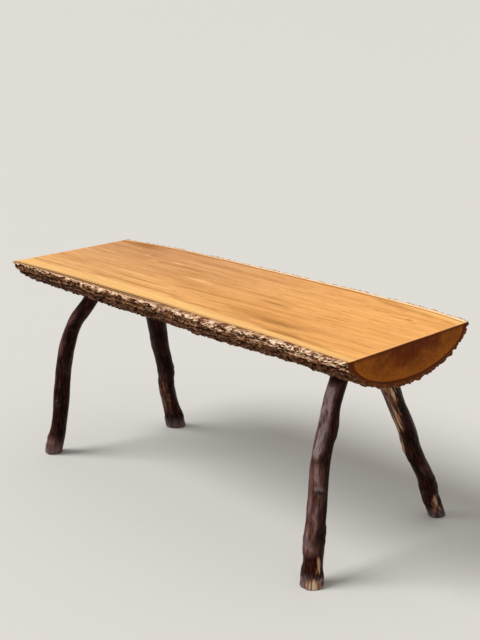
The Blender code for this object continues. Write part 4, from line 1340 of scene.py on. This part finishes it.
def knot_branch(bm, leg, fitted, line):
    """Raises the branch's knots, each with a sunk eye, and marks knots, scars and patches."""
    knot_mark = bm.verts.layers.float.new("knot")
    scar_mark = bm.verts.layers.float_vector.new("scar")
    patches = {kind: bm.verts.layers.float.new(kind) for kind in ("bare", "rubbed_and_sheen")}
    neck_end = (fitted["mouth"] + fitted["axis"] * (NECK_RUN + leg["neck"] / 2)).z
    drop = fitted["mouth"].z
    for down, heading, height, spread in leg["knots"]:
        heart = min(line, key=lambda point: abs(point.z - drop * (1 - down)))
        way = Vector((math.cos(math.radians(heading)), math.sin(math.radians(heading)), 0))
        crown = heart + way * leg["shaft"] / 2
        healed = 1.0 if KNOT_SCARS[0] < spread < KNOT_SCARS[1] else 0.0
        for vert in bm.verts:
            off = vert.co - crown
            scar = off.dot(way.orthogonal()) / spread, off.z / spread, healed
            off.z *= KNOT_STRETCH
            gap = off.length / spread * (1 + KNOT_UNEVEN * noise.noise(vert.co / spread))
            if gap < KNOT_REACH:
                eased = smooth_share((neck_end - vert.co.z) / leg["neck"])
                eye = KNOT_EYE_DEPTH * math.exp(-((gap / KNOT_EYE) ** 2))
                vert.co += way * (height * eased * (math.exp(-(gap ** 2)) - eye))
                mark = math.exp(-((gap / KNOT_MARK) ** 2))
                if mark > vert[knot_mark]:
                    vert[knot_mark] = mark
                    vert[scar_mark] = scar
    for vert in bm.verts:
        down = 1 - vert.co.z / drop
        heart = min(line, key=lambda point: abs(point.z - vert.co.z))
        out = vert.co - heart
        heading = math.degrees(math.atan2(out.y, out.x))
        for kind, mark in patches.items():
            for first, last, facing, half, strength in leg[kind]:
                turn = abs((heading - facing + 180) % 360 - 180) / half
                inside = smooth_share((down - first) / PATCH_EDGE) * smooth_share((last - down) / PATCH_EDGE)
                vert[mark] = max(vert[mark], strength * inside * smooth_share(PATCH_SIDE - turn))


def wear_foot(bm, foot):
    """Wears a foot's sawn edge round, more here and less there."""
    for vert in bm.verts:
        if vert.co.z < FOOT_EASE:
            out = Vector((vert.co.x - foot.x, vert.co.y - foot.y, 0))
            chipped = 1 + FOOT_CHIPPED * noise.noise(vert.co * FOOT_CHIPS_PER_METRE)
            left = min(FOOT_EASE, FOOT_EASE - vert.co.z)
            vert.co -= out.normalized() * chipped * (FOOT_EASE - math.sqrt(FOOT_EASE ** 2 - left ** 2))


def tenon_mesh(fitted, leg):
    """The leg's round tenon, sunk into the shaft so that the two join."""
    mesh = bpy.data.meshes.new("tenon")
    sunk = leg["neck"] / 4
    long = fitted["depth"] - TENON_END_ROOM + sunk
    radius = TENON_DIAMETER / 2
    with editing(mesh) as bm:
        bmesh.ops.create_cone(
            bm, cap_ends=True, segments=ROUND_STEPS, radius1=radius, radius2=radius, depth=long,
            matrix=fitted["frame"] @ Matrix.Translation((0, 0, long / 2 - sunk)),
        )
    return mesh


def kerf_mesh(fitted):
    """The tenon's saw cut, opened by its wedge."""
    mesh = bpy.data.meshes.new("kerf")
    long = WEDGE_LENGTH + FIT
    top = fitted["depth"] - FIT
    with editing(mesh) as bm:
        bmesh.ops.create_cube(bm, size=1.0)
        for vert in bm.verts:
            thick = (WEDGE_THICK if vert.co.z > 0 else WEDGE_TIP) + 2 * FIT
            height = (vert.co.z - 0.5) * long + top
            vert.co = Vector((vert.co.x * thick, vert.co.y * 2 * TENON_DIAMETER, height))
        bmesh.ops.transform(bm, matrix=fitted["frame"], verts=bm.verts)
        outward(bm)
    return mesh


def make_leg(name, tube, material):
    """One branch leg, knotted, sawn flat at the floor and tenoned."""
    look = bpy.context.scene.bench_legs
    leg, fitted = LEGS[name], JOINTS[name]
    line = centre_line(leg, fitted)
    piece = new_piece(f"branch_{name}", mesh_from(
        f"branch_{name}", line, [(k, k + 1) for k in range(len(line) - 1)], [],
        {"girth": [shaft_radius(leg, fitted, spot) for spot in line]},
    ))
    run_tree(piece, tube, {
        "Sides": BRANCH_SIDES, "Wrinkle": look.wrinkle, "Lump": look.lump,
        "Neck": fitted["buried"] + NECK_RUN / 2, "Seed": float(list(LEGS).index(name)), "Material": material,
    })
    with editing(piece.data) as bm:
        bmesh.ops.remove_doubles(bm, verts=bm.verts, dist=WELD)
        knot_branch(bm, leg, fitted, line)
        everything = bm.verts[:] + bm.edges[:] + bm.faces[:]
        cut = bmesh.ops.bisect_plane(
            bm, geom=everything, plane_co=(0, 0, 0), plane_no=(0, 0, -1), clear_outer=True,
        )
        rim = [part for part in cut["geom_cut"] if isinstance(part, bmesh.types.BMEdge)]
        bmesh.ops.edgeloop_fill(bm, edges=rim)
        for height in FOOT_CUTS:
            everything = bm.verts[:] + bm.edges[:] + bm.faces[:]
            level = (0, 0, FOOT_EASE * height)
            bmesh.ops.bisect_plane(bm, geom=everything, plane_co=level, plane_no=(0, 0, 1))
        wear_foot(bm, fitted["foot"])
        bmesh.ops.recalc_face_normals(bm, faces=bm.faces)
    carve(piece, "UNION", tenon_mesh(fitted, leg))
    carve(piece, "DIFFERENCE", kerf_mesh(fitted))
    shade(piece, BRANCH_SHARP)
    finish_piece(piece, material, [f"leg_{name}"])


# The stage


def make_light(scene, look):
    """A pale sky that is dimmer near the horizon, and a broad soft sun high at the camera's left."""
    scene.world = bpy.data.worlds.new("studio")
    scene.world.use_nodes = True
    scene.world.node_tree.nodes.clear()
    put = partial(add, scene.world.node_tree)
    up = put("SeparateXYZ", put("TexCoord").outputs["Generated"]).outputs["Z"]
    strength = put("MapRange", up, 0.0, 0.9, look.low_fill, look.high_fill)
    strength = put("Mix", put("LightPath").outputs["Is Camera Ray"], strength, look.backdrop)
    put("OutputWorld", put("Background", look.sky, strength))
    lamp = bpy.data.lights.new("key", "SUN")
    lamp.angle = LAMP_ANGLE
    lamp.energy = look.key
    key = bpy.data.objects.new("key", lamp)
    scene.collection.objects.link(key)
    key.location = LAMP_PLACE
    aim = Vector(LAMP_AIM) - key.location
    key.rotation_euler = aim.to_track_quat("-Z", "Y").to_euler()


def make_camera(scene):
    """The camera at the photograph's view."""
    camera = bpy.data.objects.new("camera", bpy.data.cameras.new("camera"))
    scene.collection.objects.link(camera)
    camera.data.sensor_width = SENSOR
    camera.data.lens = CAMERA_FOCUS / PICTURE_HEIGHT * SENSOR
    level = math.cos(CAMERA_PITCH)
    ahead = Vector((math.sin(CAMERA_YAW) * level, math.cos(CAMERA_YAW) * level, -math.sin(CAMERA_PITCH)))
    right = Vector((math.cos(CAMERA_YAW), -math.sin(CAMERA_YAW), 0))
    roll = Matrix.Rotation(CAMERA_ROLL, 3, "Z")
    turned = Matrix((right, right.cross(ahead), -ahead)).transposed() @ roll
    camera.matrix_world = TO_ROW @ Matrix.Translation(CAMERA_PLACE) @ turned.to_4x4()
    scene.camera = camera


# Operators


class BENCH_OT_seat(bpy.types.Operator):
    """Makes the half log of varnished wood that is the seat"""

    bl_idname = "bench.seat"
    bl_label = "Make Seat"

    def execute(self, context):
        piece = new_piece("seat_plank", slab_mesh(context.scene.bench_seat))
        carve(piece, "DIFFERENCE", plugs())
        near_end = SEAT_LENGTH / 2 - END_REACH
        on_end = []
        for face in piece.data.polygons:
            in_check = abs(face.normal.z) < END_UPRIGHT and abs(face.center.x) > near_end
            on_end.append(float(abs(face.normal.x) > END_FACING or in_check))
        piece.data.attributes.new("end_grain", "FLOAT", "FACE").data.foreach_set("value", on_end)
        shade(piece, SEAT_SHARP)
        finish_piece(piece, varnished_wood(), ["seat_slab"])
        return {"FINISHED"}


class BENCH_OT_bark(bpy.types.Operator):
    """Makes the bark, its plates and its loose flakes"""

    bl_idname = "bench.bark"
    bl_label = "Make Bark"

    def execute(self, context):
        look = context.scene.bench_bark
        material = varnished_bark()
        shell = new_piece("bark_shell", bark_mesh())
        run_tree(shell, bark_relief(), {
            "Plate Length": look.plate_length, "Plate Width": look.plate_width,
            "Plate Height": look.plate_height, "Step Height": look.step_height, "Grit": look.grit,
            "Seed": float(look.seed), "Material": material,
        })
        flakes = new_piece("bark_flakes", shell.data.copy())
        run_tree(flakes, bark_flakes(), {
            "Length": look.flake_length, "Width": look.flake_width, "Thickness": look.flake_thickness,
            "Density": look.flakes_per_area, "Seed": look.seed, "Material": material,
        })
        carve(shell, "DIFFERENCE", plugs())
        shade(shell, BARK_SHARP)
        finish_piece(shell, material, ["bark"])
        finish_piece(flakes, material, ["bark"])
        return {"FINISHED"}


class BENCH_OT_legs(bpy.types.Operator):
    """Makes the four branch legs and finishes the wedges in their tenons"""

    bl_idname = "bench.legs"
    bl_label = "Make Legs"

    def execute(self, context):
        material = varnished_branch()
        tube = branch_tube()
        for name in LEGS:
            make_leg(name, tube, material)
        wedge_wood = riven_wood()
        for name in LEGS:
            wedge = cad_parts[f"wedge_{name}"]
            wedge.data.materials.clear()
            wedge.data.materials.append(wedge_wood)
        return {"FINISHED"}


class BENCH_OT_stage(bpy.types.Operator):
    """Makes the floor, the light and the camera"""

    bl_idname = "bench.stage"
    bl_label = "Make Stage"

    def execute(self, context):
        scene = context.scene
        scene.view_settings.view_transform = "Standard"
        mesh = bpy.data.meshes.new("floor")
        with editing(mesh) as bm:
            bmesh.ops.create_grid(bm, x_segments=1, y_segments=1, size=FLOOR_SIZE)
        floor = new_piece("floor", mesh)
        mesh.materials.append(pale_floor())
        make_light(scene, scene.bench_stage)
        make_camera(scene)
        return {"FINISHED"}


class BENCH_PT_panel(bpy.types.Panel):
    """Lists the bench's pieces and their sizes and colours"""

    bl_label = "Split Log Bench"
    bl_idname = "BENCH_PT_panel"
    bl_space_type = "VIEW_3D"
    bl_region_type = "UI"
    bl_category = "Log Bench"

    def draw(self, context):
        for operator, name, group in STEPS:
            box = self.layout.box()
            box.operator(operator.bl_idname)
            for setting in group.__annotations__:
                box.prop(getattr(context.scene, name), setting)


STEPS = (
    (BENCH_OT_stage, "bench_stage", StageLook),
    (BENCH_OT_seat, "bench_seat", SeatLook),
    (BENCH_OT_bark, "bench_bark", BarkLook),
    (BENCH_OT_legs, "bench_legs", LegLook),
)


def register():
    """Registers the classes and their settings."""
    for operator, name, group in STEPS:
        bpy.utils.register_class(group)
        setattr(bpy.types.Scene, name, PointerProperty(type=group))
        bpy.utils.register_class(operator)
    bpy.utils.register_class(BENCH_PT_panel)


def unregister():
    """Takes the classes and their settings out again."""
    bpy.utils.unregister_class(BENCH_PT_panel)
    for operator, name, group in reversed(STEPS):
        bpy.utils.unregister_class(operator)
        delattr(bpy.types.Scene, name)
        bpy.utils.unregister_class(group)


def main():
    """Makes the bench and its stage."""
    register()
    bpy.ops.bench.stage()
    bpy.ops.bench.seat()
    bpy.ops.bench.bark()
    bpy.ops.bench.legs()


if __name__ == "__main__":
    main()
